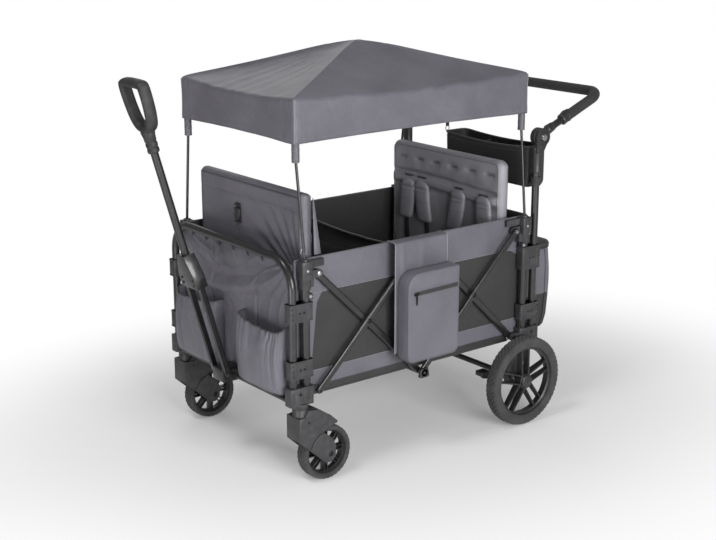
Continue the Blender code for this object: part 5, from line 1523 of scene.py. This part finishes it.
outline = boxOutline(slingLook["back"], slingLook["front"], slingLook["near"], slingLook["far"])
fine = filled(roundedOutline(outline, [0.008, 0.024, 0.024, 0.008], 6), 0.008)
grid = np.array([[slingPoint(x, y, j / 19) for x, y in fine + fine[:1]] for j in range(20)])
sling = blackPiece("organizerWalls", grid, blackCloth, body, 0.002, False, ("organizer",))
trims = [cord("organizerBinding", gridLine(grid, row=-1), 0.0031, 10, bindingTape, body)]
seam = [p + Vector((0.0012 if p.x > 0.49 else -0.0012, 0, 0)) for p in gridLine(grid, row=-3)]
trims.append(makePiece("organizerStitch", stitchRow(seam), sleeveCloth, body, 60))


def basePoint(u, v):
    dent = wrinkle(u * 0.2, v * 0.8, 0, 0.05)
    return 0.454 + 0.068 * u, -0.258 + 0.344 * v, 0.7245 + 0.001 * dent


trims.append(blackPiece("organizerFloor", gridOf(41, 11, basePoint), liningCloth, body, 0.0016))
for k, y in enumerate((-0.15, -0.024)):
    def innerPoint(u, v):
        z = 0.725 + (0.108 - 0.006 * sin(pi * u)) * v
        return 0.45 + 0.082 * u, y + 0.0012 * sin(10 * u), z

    trims.append(blackPiece(f"organizerWall{k}", gridOf(13, 11, innerPoint), liningCloth, body, 0.0016))
# the webbing loops round the push tubes, the carry ring and its clip
for side, hand in sides:
    strapFrom = 0.272 if side < 0 else 0.098
    path = [(0.457 + 0.0138 * c, side * 0.3 + 0.0133 * s) for c, s in circle(32)]
    inside = [[(x, y, z) for x, y in path] for z in (0.7345, 0.7355, 0.7605, 0.7615)]
    outer = [
        [(0.457 + (x - 0.457) * 1.1, side * 0.3 + (y - side * 0.3) * 1.1, z) for x, y, z in ring]
        for ring in inside
    ]
    band = ringsToShape(inside[::-1] + outer, closed=True)

    def strapPoint(u, v):
        z = 0.735 + 0.026 * v - 0.003 * sin(pi * u) * side
        return 0.459 + 0.004 * v, side * (strapFrom + (0.287 - strapFrom) * u), z

    loop = joined(band, shell(gridOf(6, 14, strapPoint), 0.0018, side > 0))
    makePiece(f"{hand}OrganizerLoop", loop, webbing, body, 50)
ringPath = [(0.453 + 0.0075 * c, 0.099, 0.858 + 0.0085 * s) for c, s in circle(24)]
makePiece("organizerRing", tube(ringPath + ringPath[:1], 0.0014, 10), zinc, body, 50)
clip = joined(
    block((0.448, 0.0955, 0.864), (0.458, 0.1025, 0.878), 0.003, "X", 0.0014),
    tube([(0.453, 0.099, 0.844), (0.453, 0.099, 0.852)], 0.004, 12, 0.4),
)
makePiece("organizerClip", clip, darkNylon, body, 40)
print("saddle, rear bag and organizer made")

# ---- canopy: four panels from a rounded peak, a rolled eave and a deep valance, cut as one skin
roofLook = {
    "halfX": 0.4315,
    "halfY": 0.283,
    "eave": 1.0755,
    "peak": 1.178,
    "low": 0.956,
    "sag": 0.012,
    "dip": 0.01,
    "blunt": 0.13,
    "corner": 0.01,
}
hx, hy, cornerRadius = roofLook["halfX"], roofLook["halfY"], roofLook["corner"]
perSide = {"X": 84, "Y": 56}  # steps of the loop along each edge


# The share across a panel, from its middle (0) to its hip (1), and the share out from the peak
def roofShares(x, y):
    u, v = abs(x) / hx, abs(y) / hy
    return min(u, v) / max(u, v, 1e-6), max(u, v)


# The roof over a place in the plan
def roofPoint(x, y):
    share, out = roofShares(x, y)
    blunt = roofLook["blunt"]
    fall = (hypot(out, blunt) - blunt) / (hypot(1, blunt) - blunt)
    rise = (roofLook["peak"] - roofLook["eave"]) * fall + 0.0055 * sin(pi * out)
    dip = roofLook["dip"] * sin(pi * out) * (1 - share**2)
    sag = roofLook["sag"] * (1 - share**2) * out**3
    hip = 0.0022 * bell(1 - share, 0.05) * min(1.0, out / 0.25) * min(1.0, (1.02 - out) / 0.1)
    crumple = 0.0016 * wrinkle(x, y, 0, 0.09, 4.4) + 0.001 * wrinkle(x, y, 0, 0.045, 1.2)
    pull = 0.0012 * sin(26 * share + 6 * out) * (1 - share) * out
    ripple = 0.0
    if abs(y) / hy >= abs(x) / hx:
        ripple = 0.0032 * sin(x * 46 + 1.5 * sin(x * 11)) * max(0.0, (out - 0.8) / 0.2) ** 1.5 * (1 - share**4)
    fade = min(1.0, (1 - share) / 0.08)
    return roofLook["peak"] - rise - dip - sag + hip + (crumple + pull + ripple) * fade


# The canopy's edge, walked as a closed loop of plan points with rounded corners
def eaveLoop():
    loop = []
    for sx, sy, along in ((1, -1, "X"), (1, 1, "Y"), (-1, 1, "X"), (-1, -1, "Y")):
        inX, inY = sx * (hx - cornerRadius), sy * (hy - cornerRadius)
        start, finish = (-inX, sy * hy), (inX, sy * hy)
        if along == "Y":
            start, finish = (sx * hx, -inY), (sx * hx, inY)
        for k in range(perSide[along]):
            t = k / perSide[along]
            loop.append((start[0] + (finish[0] - start[0]) * t, start[1] + (finish[1] - start[1]) * t))
        corner, centre = Vector(finish), Vector((inX, inY))
        turn = atan2(corner.y - centre.y, corner.x - centre.x)
        for k in range(4):
            a = turn + pi / 2 * k / 4
            loop.append((centre.x + cornerRadius * cos(a), centre.y + cornerRadius * sin(a)))
    return loop


loop = eaveLoop()
shares = list(np.linspace(0.012, 0.97, 56)) + [0.985]
rows = [[(x * share, y * share, roofPoint(x * share, y * share)) for x, y in loop] for share in shares]


# The valance's own fall: a soft roll at the eave, then a nearly upright skirt with small swells and a hem
def eaveFall(x, y, depth):
    share, _ = roofShares(x, y)
    swell = 0.003 * wrinkle(x, y, depth * 1.4, 0.11, 6.6) + 0.0016 * wrinkle(x, y, depth * 2.0, 0.05, 2.0)
    fan = 0.0016 * sin(140 * (1 - share) + 60 * depth) * bell(1 - share, 0.16)
    return (swell + fan) * min(1.0, depth / 0.03) * min(1.0, (1 - share) / 0.05)


# Which way the edge faces at a plan point
def facing(x, y, margin):
    return (
        copysign(1, x) if abs(x) > hx - margin else 0.0,
        copysign(1, y) if abs(y) > hy - margin else 0.0,
    )


# Rows of the valance: depth of its swells, inset, drop below the eave
valanceRows = [(0.0, 0.0035, 0.0012), (0.0, 0.0012, 0.0034), (0.004, 0.0002, 0.0072), (0.01, 0.0, 0.012)]
valanceRows += [(0.018, 0.0004, 0.02)]
for depth, inset in (
    (0.03, 0.001), (0.042, 0.0014), (0.054, 0.0014), (0.066, 0.0012), (0.078, 0.001), (0.09, 0.0008), (0.1, 0.0004),
    (0.108, 0.0), (0.114, 0.0), (0.1195, 0.0002),
):
    valanceRows.append((depth, inset, depth))
edge = [roofPoint(x * 0.999, y * 0.999) for x, y in loop]
for depth, inset, drop in valanceRows:
    ring = []
    for (x, y), top in zip(loop, edge):
        low = roofLook["low"] + 0.005 * (1 - roofShares(x, y)[0] ** 2)
        z = top + (low - top) * (drop / 0.1195) if drop > 0.012 else top - drop * (top - low) / 0.1195
        move = inset - eaveFall(x, y, depth)
        nx, ny = facing(x, y, 0.01)
        norm = hypot(nx, ny) or 1
        ring.append((x - move * nx / norm, y - move * ny / norm, z))
    rows.append(ring)
grid = np.array(rows, float)


# A skin closed round its loop and over the peak: outer and inner layers joined at the hem
def hoodShape(grid, thickness):
    rows, count = grid.shape[:2]
    centre = grid[0].mean(0) + np.array([0, 0, 0.0002])
    wide = np.concatenate([grid[:, -1:], grid, grid[:, :1]], axis=1)
    normal = np.cross(np.gradient(grid, axis=0), (wide[:, 2:] - wide[:, :-2]) / 2)
    normal /= np.maximum(np.linalg.norm(normal, axis=2, keepdims=True), 1e-12)
    if normal[2, :, 2].mean() < 0:
        normal = -normal
    back = grid - normal * thickness
    points = [tuple(p) for p in grid.reshape(-1, 3)] + [tuple(p) for p in back.reshape(-1, 3)]
    points += [tuple(centre), tuple(centre - np.array([0, 0, thickness]))]
    half = rows * count
    faces = []
    for j in range(rows - 1):
        for i in range(count):
            k = (i + 1) % count
            a, b, c, d = j * count + i, j * count + k, (j + 1) * count + k, (j + 1) * count + i
            faces += [(a, b, c, d), (d + half, c + half, b + half, a + half)]
    for i in range(count):
        k = (i + 1) % count
        faces += [(2 * half, k, i), (2 * half + 1, i + half, k + half)]
        a, b = (rows - 1) * count + i, (rows - 1) * count + k
        faces.append((a, b, b + half, a + half))
    return points, faces


# The weave's place on the canopy: round the loop, and down from the peak
flat = grid[..., :2].copy()
valance = slice(len(shares), None)
flat[valance, :, 0] += [y if abs(abs(x) - hx) < 0.011 else 0 for x, y in loop]
flat[valance, :, 1] += np.maximum(0.0, grid[len(shares) - 1, :, 2] - grid[valance, :, 2])
uv = np.concatenate([flat.reshape(-1, 2), flat.reshape(-1, 2), [[0, 0], [0, 0]]])
body = "front_posts"
hood = hoodShape(grid, 0.0013)
canopy = makePiece("canopyCloth", hood, slateCloth, body, 60, uv=uv, nodes=("canopy",))
hem = gridLine(grid, row=-1, lift=(0, 0, 0.0004))
trims = [cord("canopyHem", hem + hem[:2], 0.0014, 8, slateCloth, body)]
seam = [Vector(p) + Vector((copysign(0.0003, p[0]), copysign(0.0003, p[1]), 0)) for p in grid[-3]]
trims.append(stitches("canopyHemStitch", seam + seam[:1], body))
# Two stitched lines down the valance beside each corner, where the pole sleeves are sewn in, taped seams along its
# four corners in a light cord whose pale colour is also a painted highlight on the corner edges, and seams up the
# hips to the peak
lines, cornerHighlightTapes, hips = [], [], []
start = 0
for along, half in (("X", hx), ("Y", hy)) * 2:
    steps = perSide[along]
    length = 2 * (half - cornerRadius)
    for distance in (0.022, 0.048):
        inStep = max(1, round(steps * distance / length))
        for column in (start + inStep, start + steps - inStep):
            push = Vector((*(0.0004 * way for way in facing(*loop[column], 0.011)), 0))
            path = [Vector(p) + push for p in grid[len(shares) + 2 :, column]]
            lines.append(stitchRow(path, 0.0052, 0.0036, 0.0005))
    corner = start + steps + 2
    x, y = loop[corner]
    push = Vector((copysign(0.0001, x), copysign(0.0001, y), 0))
    # the corner tape's light colour paints the highlight along each corner edge
    cornerHighlightTapes.append(tube([Vector(p) + push for p in grid[len(shares) + 1 :, corner]], 0.0019, 10))
    path = [Vector(p) + Vector((0, 0, 0.0001)) for p in grid[9 : len(shares) + 1 : 2, corner]]
    hips.append(tube(path, [0.0006 + 0.0006 * k / len(path) for k in range(len(path))], 8))
    start += steps + 4
for title, shapes, material in (
    ("canopySleeveStitch", lines, pipingCord),
    ("canopyCornerHighlightTape", cornerHighlightTapes, pipingCord),
    ("canopyHipSeams", hips, slateCloth),
):
    trims.append(makePiece(title, joined(*shapes), material, body, 60))
for piece in [canopy] + trims:
    gathers(piece)
print("canopy made")

# ---- seats: foam pads in a melange cloth, with tufts, a sewn roll, shoulder pads and webbing


# Sample places between two edges, close together where the rim turns
def rimSamples(low, high, rim, steps):
    turns = [rim * (1 - cos(pi / 2 * k / 5)) for k in range(6)]
    inner = list(np.linspace(low + rim, high - rim, steps))
    return [low + t for t in turns[:-1]] + inner + [high - t for t in turns[-2::-1]]


# Turns a square corner of the plan into a round one
def roundCorner(a, b, box, radii):
    for (cornerA, cornerB), radius in zip(boxOutline(*box), radii):
        inA, inB = radius - abs(a - cornerA), radius - abs(b - cornerB)
        if inA > 0 and inB > 0:
            scale = max(inA, inB) / hypot(inA, inB)
            signA, signB = (1 if cornerA > 0 or cornerA == box[1] else -1), (1 if cornerB == box[3] else -1)
            a = cornerA - signA * (radius - inA * scale)
            b = cornerB - signB * (radius - inB * scale)
    return a, b


def rimShare(distance, rim):
    t = min(1.0, max(0.0, distance / rim))
    return sqrt(max(0.0, 1 - (1 - t) ** 2))


# A cushion between two faces: the rim is round, the middle is crowned, and relief moves the two faces
def cushion(box, low, high, rim, radii, relief, counts, pull=0.0):
    front, back = [], []
    middle, half = (low + high) / 2, (high - low) / 2
    lowA, highA, lowB, highB = box
    for b in rimSamples(lowB, highB, rim, counts[1]):
        rowFront, rowBack = [], []
        for a in rimSamples(lowA, highA, rim, counts[0]):
            edge = min(a - lowA, highA - a, b - lowB, highB - b)
            share = rimShare(edge, rim)
            u, v = (a - lowA) / (highA - lowA) * 2 - 1, (b - lowB) / (highB - lowB) * 2 - 1
            a2, b2 = roundCorner(a, b, box, radii)
            a2 -= (a2 - (lowA + highA) / 2) * pull * (1 - v * v) * abs(u)
            b2 -= (b2 - (lowB + highB) / 2) * pull * (1 - u * u) * abs(v)
            f, k = relief(a, b, u, v)
            fade = min(1.0, max(0.0, (edge - 0.003) / 0.028))
            fade = fade * fade * (3 - 2 * fade)
            rowFront.append((a2, b2, middle - half * share + f * fade))
            rowBack.append((a2, b2, middle + half * share - k * fade))
        front.append(rowFront)
        back.append(rowBack)
    return np.array(front), np.array(back)


# The line along a cushion's face just inside its rim, for piping and edging
def rimLine(grid, lift):
    rows, columns = grid.shape[:2]
    kept = []
    for j, i in rimOf(rows, columns):
        p = Vector(grid[min(max(j, 4), rows - 5), min(max(i, 4), columns - 5)]) + Vector((lift, 0, 0))
        if not kept or (p - kept[-1]).length > 0.0015:
            kept.append(p)
    return kept + kept[:2]


backLook = {"half": 0.256, "low": 0.455, "high": 0.812, "sit": 0.352, "away": 0.392, "tuft": 0.764, "channel": 0.712}
tufts = [-0.205 + 0.082 * k for k in range(6)]
shoulderPads = ((-0.2, 0.02), (-0.068, -0.024), (0.085, 0.022), (0.167, -0.016))  # place across, lean


def channelLine(y):
    return backLook["channel"] + 0.006 * sin(9 * y + 0.6)


# Relief of the side that is sat against: tufts, the sewn roll and soft swells between them
def sittingRelief(y, z, u, v):
    tuft = 0.0
    for spot in tufts:
        sideways, up = (y - spot) / 0.02, (z - backLook["tuft"]) / 0.0048
        tuft += 0.0052 * exp(-(sideways**4) - up * up)
        tuft += 0.003 * exp(-(((y - spot) / 0.03) ** 2) - (((z - backLook["tuft"]) / 0.02) ** 2))
    line = channelLine(y)
    channel = 0.0085 * bell(z - line, 0.0065)
    roll = -0.0105 * exp(-(((z - line + 0.022) / 0.0125) ** 4))
    under = 0.004 * bell(z - line + 0.047, 0.01) * (0.5 + 0.5 * sin(21 * y))
    folds = 0.0016 * wrinkle(1.0, y, z, 0.035, 3.1) + 0.0012 * sin(60 * y + 20 * z) * (1 if z < line - 0.05 else 0.3)
    crown = 0.0012 * (1 - u * u)
    return max(-0.01, tuft + channel + roll + under + folds - crown), 0.001 * wrinkle(2.0, y, z, 0.08, 4.0)


# Relief of the outer side: a hem band, and loose cloth that fans out of the lower corner
def outerRelief(y, z):
    band = 0.0028 * bell(z - 0.76, 0.0042)
    reach = hypot(y + 0.262, z - 0.56)
    angle = atan2(z - 0.56, y + 0.262)
    fan = 0.0034 * sin(30 * angle + 0.7) * bell(reach - 0.13, 0.11) * (1 if z < 0.757 else 0)
    loose = 0.0018 * wrinkle(0.5, y, z, 0.06, 9.2) if z < 0.757 else 0.0006 * wrinkle(0.5, y, z, 0.08, 9.2)
    return max(-0.003, min(0.006, band + fan + loose))


# The near seat shows its outer side, so both reliefs are used on it
def nearRelief(y, z, u, v):
    return sittingRelief(y, z, u, v)[0], outerRelief(y, z)


def roundedEnd(distance, reach):
    return sqrt(max(0.0, 1 - (1 - min(1, distance / reach)) ** 2))


def shoulderRings(spotY, facing, lowZ, highZ, lean):
    rings = []
    for k in range(31):
        t = k / 30
        end = min(1.0, roundedEnd(t, 0.09), roundedEnd(1 - t, 0.14))
        wide = 0.033 * max(0.12, end) * (0.93 + 0.07 * sin(pi * t))
        notches = 0.12 * bell(t - 0.52, 0.02) + 0.3 * bell(t - 0.8, 0.03)
        thick = 0.0092 * max(0.2, end) * (1 - notches)
        face = 0.344 - 0.003 * sin(pi * t) * 0.4
        y = spotY + lean * (t - 0.5) + 0.004 * sin(pi * t) * copysign(1, lean)
        z = lowZ + (highZ - lowZ) * t
        rings.append([(facing * (face + thick * bent(s, 0.8)), y + wide * bent(c, 0.55), z) for c, s in circle(20)])
    return rings


def hingeRod(name, centre, radius, reach, body):
    makePiece(name, rodOn("Y", centre, radius, -reach, reach), blackPaint, body, 40)


for end, hand in ends:
    body = f"{hand}_seatback"
    near = end < 0
    box = (-backLook["half"], backLook["half"], backLook["low"], backLook["high"])
    radii = (0.01, 0.01, 0.011, 0.011) if near else (0.01, 0.01, 0.026, 0.026)
    relief = nearRelief if near else sittingRelief
    faces = cushion(box, backLook["sit"], backLook["away"], 0.0165, radii, relief, (110, 84), 0.0 if near else 0.004)
    sitGrid, awayGrid = (np.stack([end * g[..., 2], g[..., 0], g[..., 1]], axis=2) for g in faces)
    cloth, uv = slateCloth if near else padCloth, gridUv(sitGrid)
    pad = twoSided(sitGrid, awayGrid)
    back = makePiece(f"{hand}SeatbackPad", pad, cloth, body, 60, uv=uv, nodes=(body,))
    cord(f"{hand}SeatbackPiping", rimLine(sitGrid, -end * 0.0004), 0.0017, 8, pipingCord, body)
    cord(f"{hand}SeatbackEdging", rimLine(awayGrid, end * 0.0004), 0.0021, 8, bindingTape, body)
    # tuft stitches, shoulder pads, their seams, slots and webbing
    dashes, slots, straps = [], [], []
    x, z = end * (backLook["sit"] + 0.0036), backLook["tuft"]
    for spot in tufts:
        dashes.append(stitchRow([(x, spot - 0.014, z), (x, spot + 0.014, z - 0.001)], 0.0046, 0.0036, 0.0007))
    makePiece(f"{hand}TuftStitches", joined(*dashes), bindingTape, body, 60)
    for k, (spotY, lean) in enumerate(shoulderPads):
        rings = shoulderRings(spotY, end, 0.563, 0.697, lean)
        pad = makePiece(f"{hand}ShoulderPad{k}", ringsToShape(rings), padCloth, body, 60)
        rim = [Vector(ring[0]) for ring in rings[1:-1]] + [Vector(ring[10]) for ring in rings[-2:0:-1]]
        cord(f"{hand}ShoulderPiping{k}", rim + rim[:2], 0.0017, 8, pipingCord, body)
        rowsAcross = []
        for z in (0.628, 0.662):
            ring = min(rings, key=lambda r: abs(r[0][2] - z))
            face = [Vector(p) + Vector((-end * 0.0002, 0, 0)) for p in ring[11:]]
            rowsAcross.append(stitchRow(face, 0.0046, 0.0034, 0.0005))
        makePiece(f"{hand}ShoulderStitch{k}", joined(*rowsAcross), bindingTape, body, 60)
        topY, lowY = spotY + lean * 0.5, spotY - lean * 0.5
        slotZ = channelLine(topY) - 0.0095
        low, high = across(end, 0.3475, 0.3418)
        slot = block((low, topY - 0.019, slotZ - 0.003), (high, topY + 0.019, slotZ + 0.0035), 0.002, "X", 0.0008)
        slots.append(slot)
        strap = ((0.3462, lowY + lean * 0.1, 0.572), (0.3475, lowY, 0.545), (0.349, lowY - 0.003, 0.5))
        strap += ((0.35, lowY - 0.004, 0.47),)
        straps.append(tube([(end * x, y, z) for x, y, z in strap], 0.011, 12, 0.11))
    makePiece(f"{hand}WebbingSlots", joined(*slots), bindingTape, body, 60)
    makePiece(f"{hand}HarnessStraps", joined(*straps), webbing, body, 60)
    hingeRod(f"{hand}SeatbackHinge", (end * 0.364, 0.462), 0.006, 0.279, body)

# The near seatback's outer side: stitched hem band, webbing with its buckle, and the grey wing to the rail
body = "front_seatback"
outX = -(backLook["away"] + 0.001)
for k, z in enumerate((0.7565, 0.764)):
    stitches(f"seatHemStitch{k}", [(outX + 0.0016, -0.236 + 0.472 * i / 60, z) for i in range(61)], body)


def tapePoint(u, v):
    return outX - 0.0006 - 0.0012 * sin(pi * v), 0.034 + 0.024 * u + 0.004 * v, 0.68 + 0.058 * v


buckleTape = blackPiece("seatStrapTape", gridOf(12, 7, tapePoint), webbing, body, 0.0012, True)
barX = outX - 0.005
buckle = joined(
    block((outX - 0.0075, 0.035, 0.696), (outX - 0.0015, 0.062, 0.723), 0.004, "X", 0.0016),
    block((outX - 0.009, 0.04, 0.69), (outX - 0.002, 0.057, 0.697), 0.002, "X", 0.0012),
    tube([(barX, 0.035, 0.731), (barX, 0.062, 0.731)], 0.0022, 10, 1.0, 0.001),
    tube([(barX, 0.036, 0.681), (barX, 0.061, 0.683)], 0.0022, 10, 1.0, 0.001),
)
makePiece("seatStrapBuckle", buckle, darkNylon, body, 40)


# The grey wing beside the near seat, sewn to the seatback's edge above the rail
def wingPoint(u, v):
    bow = 0.0022 * sin(pi * u) * (1 - v)
    return -0.356 + (0.002 + 0.019 * (1 - v) ** 0.9) * u, -0.2585 - 0.006 * (1 - v) - bow, 0.642 + 0.156 * v


wingGrid = gridOf(26, 9, wingPoint)
wing = clothPiece("seatWing", wingGrid, slateCloth, body, 0.0012, True)
trims = []
for label, column in (("Inner", 1), ("Outer", 7)):
    seam = gridLine(wingGrid, column=column, lift=(0, -0.0003, 0))
    trims.append(stitches(f"seatWing{label}Stitch", seam, body, 0.0058, 0.0036, 0.0005))
trims.append(cord("seatWingPiping", gridLine(wingGrid, column=8), 0.0013, 8, pipingCord, body))
pad = ["frontSeatbackPad"]
hookPath = [(-0.396 + 0.0085 * c, -0.27, 0.656 + 0.0105 * s) for c, s in circle(24)]
makePiece("railHookRing", tube(hookPath + hookPath[:1], 0.0013, 10), zinc, "front_posts", 50)


# ---- benches and floor boards
def benchRelief(x, y, u, v):
    channel = sum(0.0042 * bell(y - spot, 0.0055) for spot in (-0.136, 0.0, 0.136))
    channel += 0.0012 * wrinkle(x, y, 1.0, 0.045, 2.4)
    return 0.001 * wrinkle(x, y, 0.0, 0.06, 1.4), channel - 0.001 * (1 - u * u)


for end, hand in ends:
    body = f"{hand}_bench"
    box = (*across(end, 0.1215, 0.3045), -0.2715, 0.2715)
    under, top = cushion(box, 0.4022, 0.4378, 0.015, (0.012,) * 4, benchRelief, (30, 80), 0.004)
    pad, nodes = twoSided(under, top), (f"{hand}_seat_bench",)
    bench = makePiece(f"{hand}BenchPad", pad, liningCloth, body, 60, uv=gridUv(top), nodes=nodes)
    path = [Vector(top[j, i]) + Vector((0, 0, 0.0004)) for j, i in rimOf(*top.shape[:2], 4)]
    cord(f"{hand}BenchPiping", path + path[:2], 0.0016, 8, bindingTape, body)
    hingeRod(f"{hand}BenchHinge", (end * 0.305, 0.42), 0.0058, 0.279, body)

    body = f"{hand}_board"
    low, high = across(end, 0.08, 0.382)
    board = block((low, -0.27, 0.2575), (high, 0.27, 0.2662), 0.01, "Z", 0.0012)
    makePiece(f"{hand}FloorBoard", board, liningCloth, body, 40, nodes=(f"{hand}_floor_board",))

    def matPoint(u, v):
        x, y = low + 0.001 + (high - low - 0.002) * u, -0.2755 + 0.551 * v
        lift = 0.0011 * (0.5 + 0.5 * wrinkle(x, y, 0, 0.09, 3.3)) * sin(pi * u) ** 0.4
        return x, y, 0.2702 + lift

    mat = blackPiece(f"{hand}FloorMat", gridOf(40, 26, matPoint), liningCloth, body, 0.0034)
    hingeRod(f"{hand}BoardHinge", (end * 0.388, 0.262), 0.006, 0.2865, body)
print("seats and boards made")


# ---- white paper floor, soft lights and the camera
floorMesh = bpy.data.meshes.new("studioFloor")
floorMesh.from_pydata([(-40, -40, 0), (40, -40, 0), (40, 40, 0), (-40, 40, 0)], [], [(0, 1, 2, 3)])
floorSheet = bpy.data.objects.new("studioFloor", floorMesh)
bpy.context.scene.collection.objects.link(floorSheet)

# Seamless white paper: it takes the shadow near the wagon and turns plain white towards the horizon
paperLook = {
    "paper": "#ffffff",
    "roughness": 0.95,
    "lift": 0.14,
    "near": 0.5,
    "far": 1.45,
    "centre": (0.02, -0.05, 0.0),
    "reach": (0.78, 1.0, 1.0),
}
paper, tree, shader = newMaterial("SeamlessWhitePaper", paperLook)
shader.inputs["Base Color"].default_value = linearColour(paperLook["paper"])
shader.inputs["Specular IOR Level"].default_value = 0.0
spot = addNode(tree, "ShaderNodeNewGeometry").outputs["Position"]
moved = addNode(tree, "ShaderNodeVectorMath", {"operation": "SUBTRACT"}, _0=spot, _1=paperLook["centre"]).outputs[0]
scaled = addNode(tree, "ShaderNodeVectorMath", {"operation": "MULTIPLY"}, _0=moved, _1=paperLook["reach"]).outputs[0]
away = addNode(tree, "ShaderNodeVectorMath", {"operation": "LENGTH"}, _0=scaled).outputs["Value"]
fade = addNode(
    tree, "ShaderNodeMapRange", {"interpolation_type": "SMOOTHSTEP"},
    _0=away, _1=paperLook["near"], _2=paperLook["far"], _3=paperLook["lift"], _4=1.0,
).outputs[0]
glow = addNode(tree, "ShaderNodeEmission", None, Color=linearColour(paperLook["paper"]), Strength=1.0)
onlySeen = combineMath(tree, "MULTIPLY", fade, addNode(tree, "ShaderNodeLightPath").outputs["Is Camera Ray"])
blend = addNode(tree, "ShaderNodeMixShader", None, _0=onlySeen)
tree.links.new(shader.outputs[0], blend.inputs[1])
tree.links.new(glow.outputs[0], blend.inputs[2])
tree.links.new(blend.outputs[0], tree.nodes["Material Output"].inputs["Surface"])
floorMesh.materials.append(paper)

lightLook = {"world": 0.25, "side": 142.0, "left": 6.5, "top": 28.0, "back": 10.0}
world = bpy.data.worlds.new("StudioWorld")
bpy.context.scene.world = world
world.use_nodes = True
tree = world.node_tree
background = tree.nodes["Background"]
background.inputs["Color"].default_value = (1, 1, 1, 1)
rays = addNode(tree, "ShaderNodeLightPath")
seen = combineMath(tree, "MAXIMUM", rays.outputs["Is Camera Ray"], rays.outputs["Is Transmission Ray"])
strength = spread(tree, seen, 0.0, 1.0, lightLook["world"], 1.0)
tree.links.new(strength, background.inputs["Strength"])


def softLamp(name, at, target, size, power):
    lamp = bpy.data.lights.new(name, "AREA")
    lamp.shape = "RECTANGLE"
    lamp.size, lamp.size_y = size
    lamp.energy = power
    holder = bpy.data.objects.new(name, lamp)
    holder.location = at
    holder.rotation_mode = "QUATERNION"
    holder.rotation_quaternion = (Vector(target) - Vector(at)).to_track_quat("-Z", "Y")
    bpy.context.scene.collection.objects.link(holder)


softLamp("sideSoftbox", (-0.6, -4.1, 1.5), (0, 0, 0.55), (2.2, 1.8), lightLook["side"])
softLamp("leftStrip", (-1.9, -0.7, 0.3), (-0.4, -0.05, 0.28), (0.8, 0.4), lightLook["left"])
softLamp("topSoftbox", (-1.9, -0.4, 3.4), (-0.3, 0, 0.5), (0.9, 0.8), lightLook["top"])
softLamp("backSoftbox", (1.3, 2.9, 2.5), (-0.2, 0, 0.7), (1.8, 1.2), lightLook["back"])

cameraLook = {
    "azimuth": -38.32,
    "elevation": 15.56,
    "distance": 4.137,
    "target": (0.0052, 0.0, 0.4787),
    "lens": 67.9,
}
azimuth, elevation = radians(cameraLook["azimuth"]), radians(cameraLook["elevation"])
level = cos(elevation)
back = Vector((sin(azimuth) * level, -cos(azimuth) * level, sin(elevation)))
target = Vector(cameraLook["target"]) + Vector((shiftX, 0, 0))
lens = bpy.data.cameras.new("photoCamera")
lens.lens = cameraLook["lens"]
lens.sensor_width = 36.0
camera = bpy.data.objects.new("photoCamera", lens)
camera.location = target + back * cameraLook["distance"]
camera.rotation_mode = "QUATERNION"
camera.rotation_quaternion = (-back).to_track_quat("-Z", "Y")
bpy.context.scene.collection.objects.link(camera)
bpy.context.scene.camera = camera
bpy.context.scene.view_settings.view_transform = "Standard"
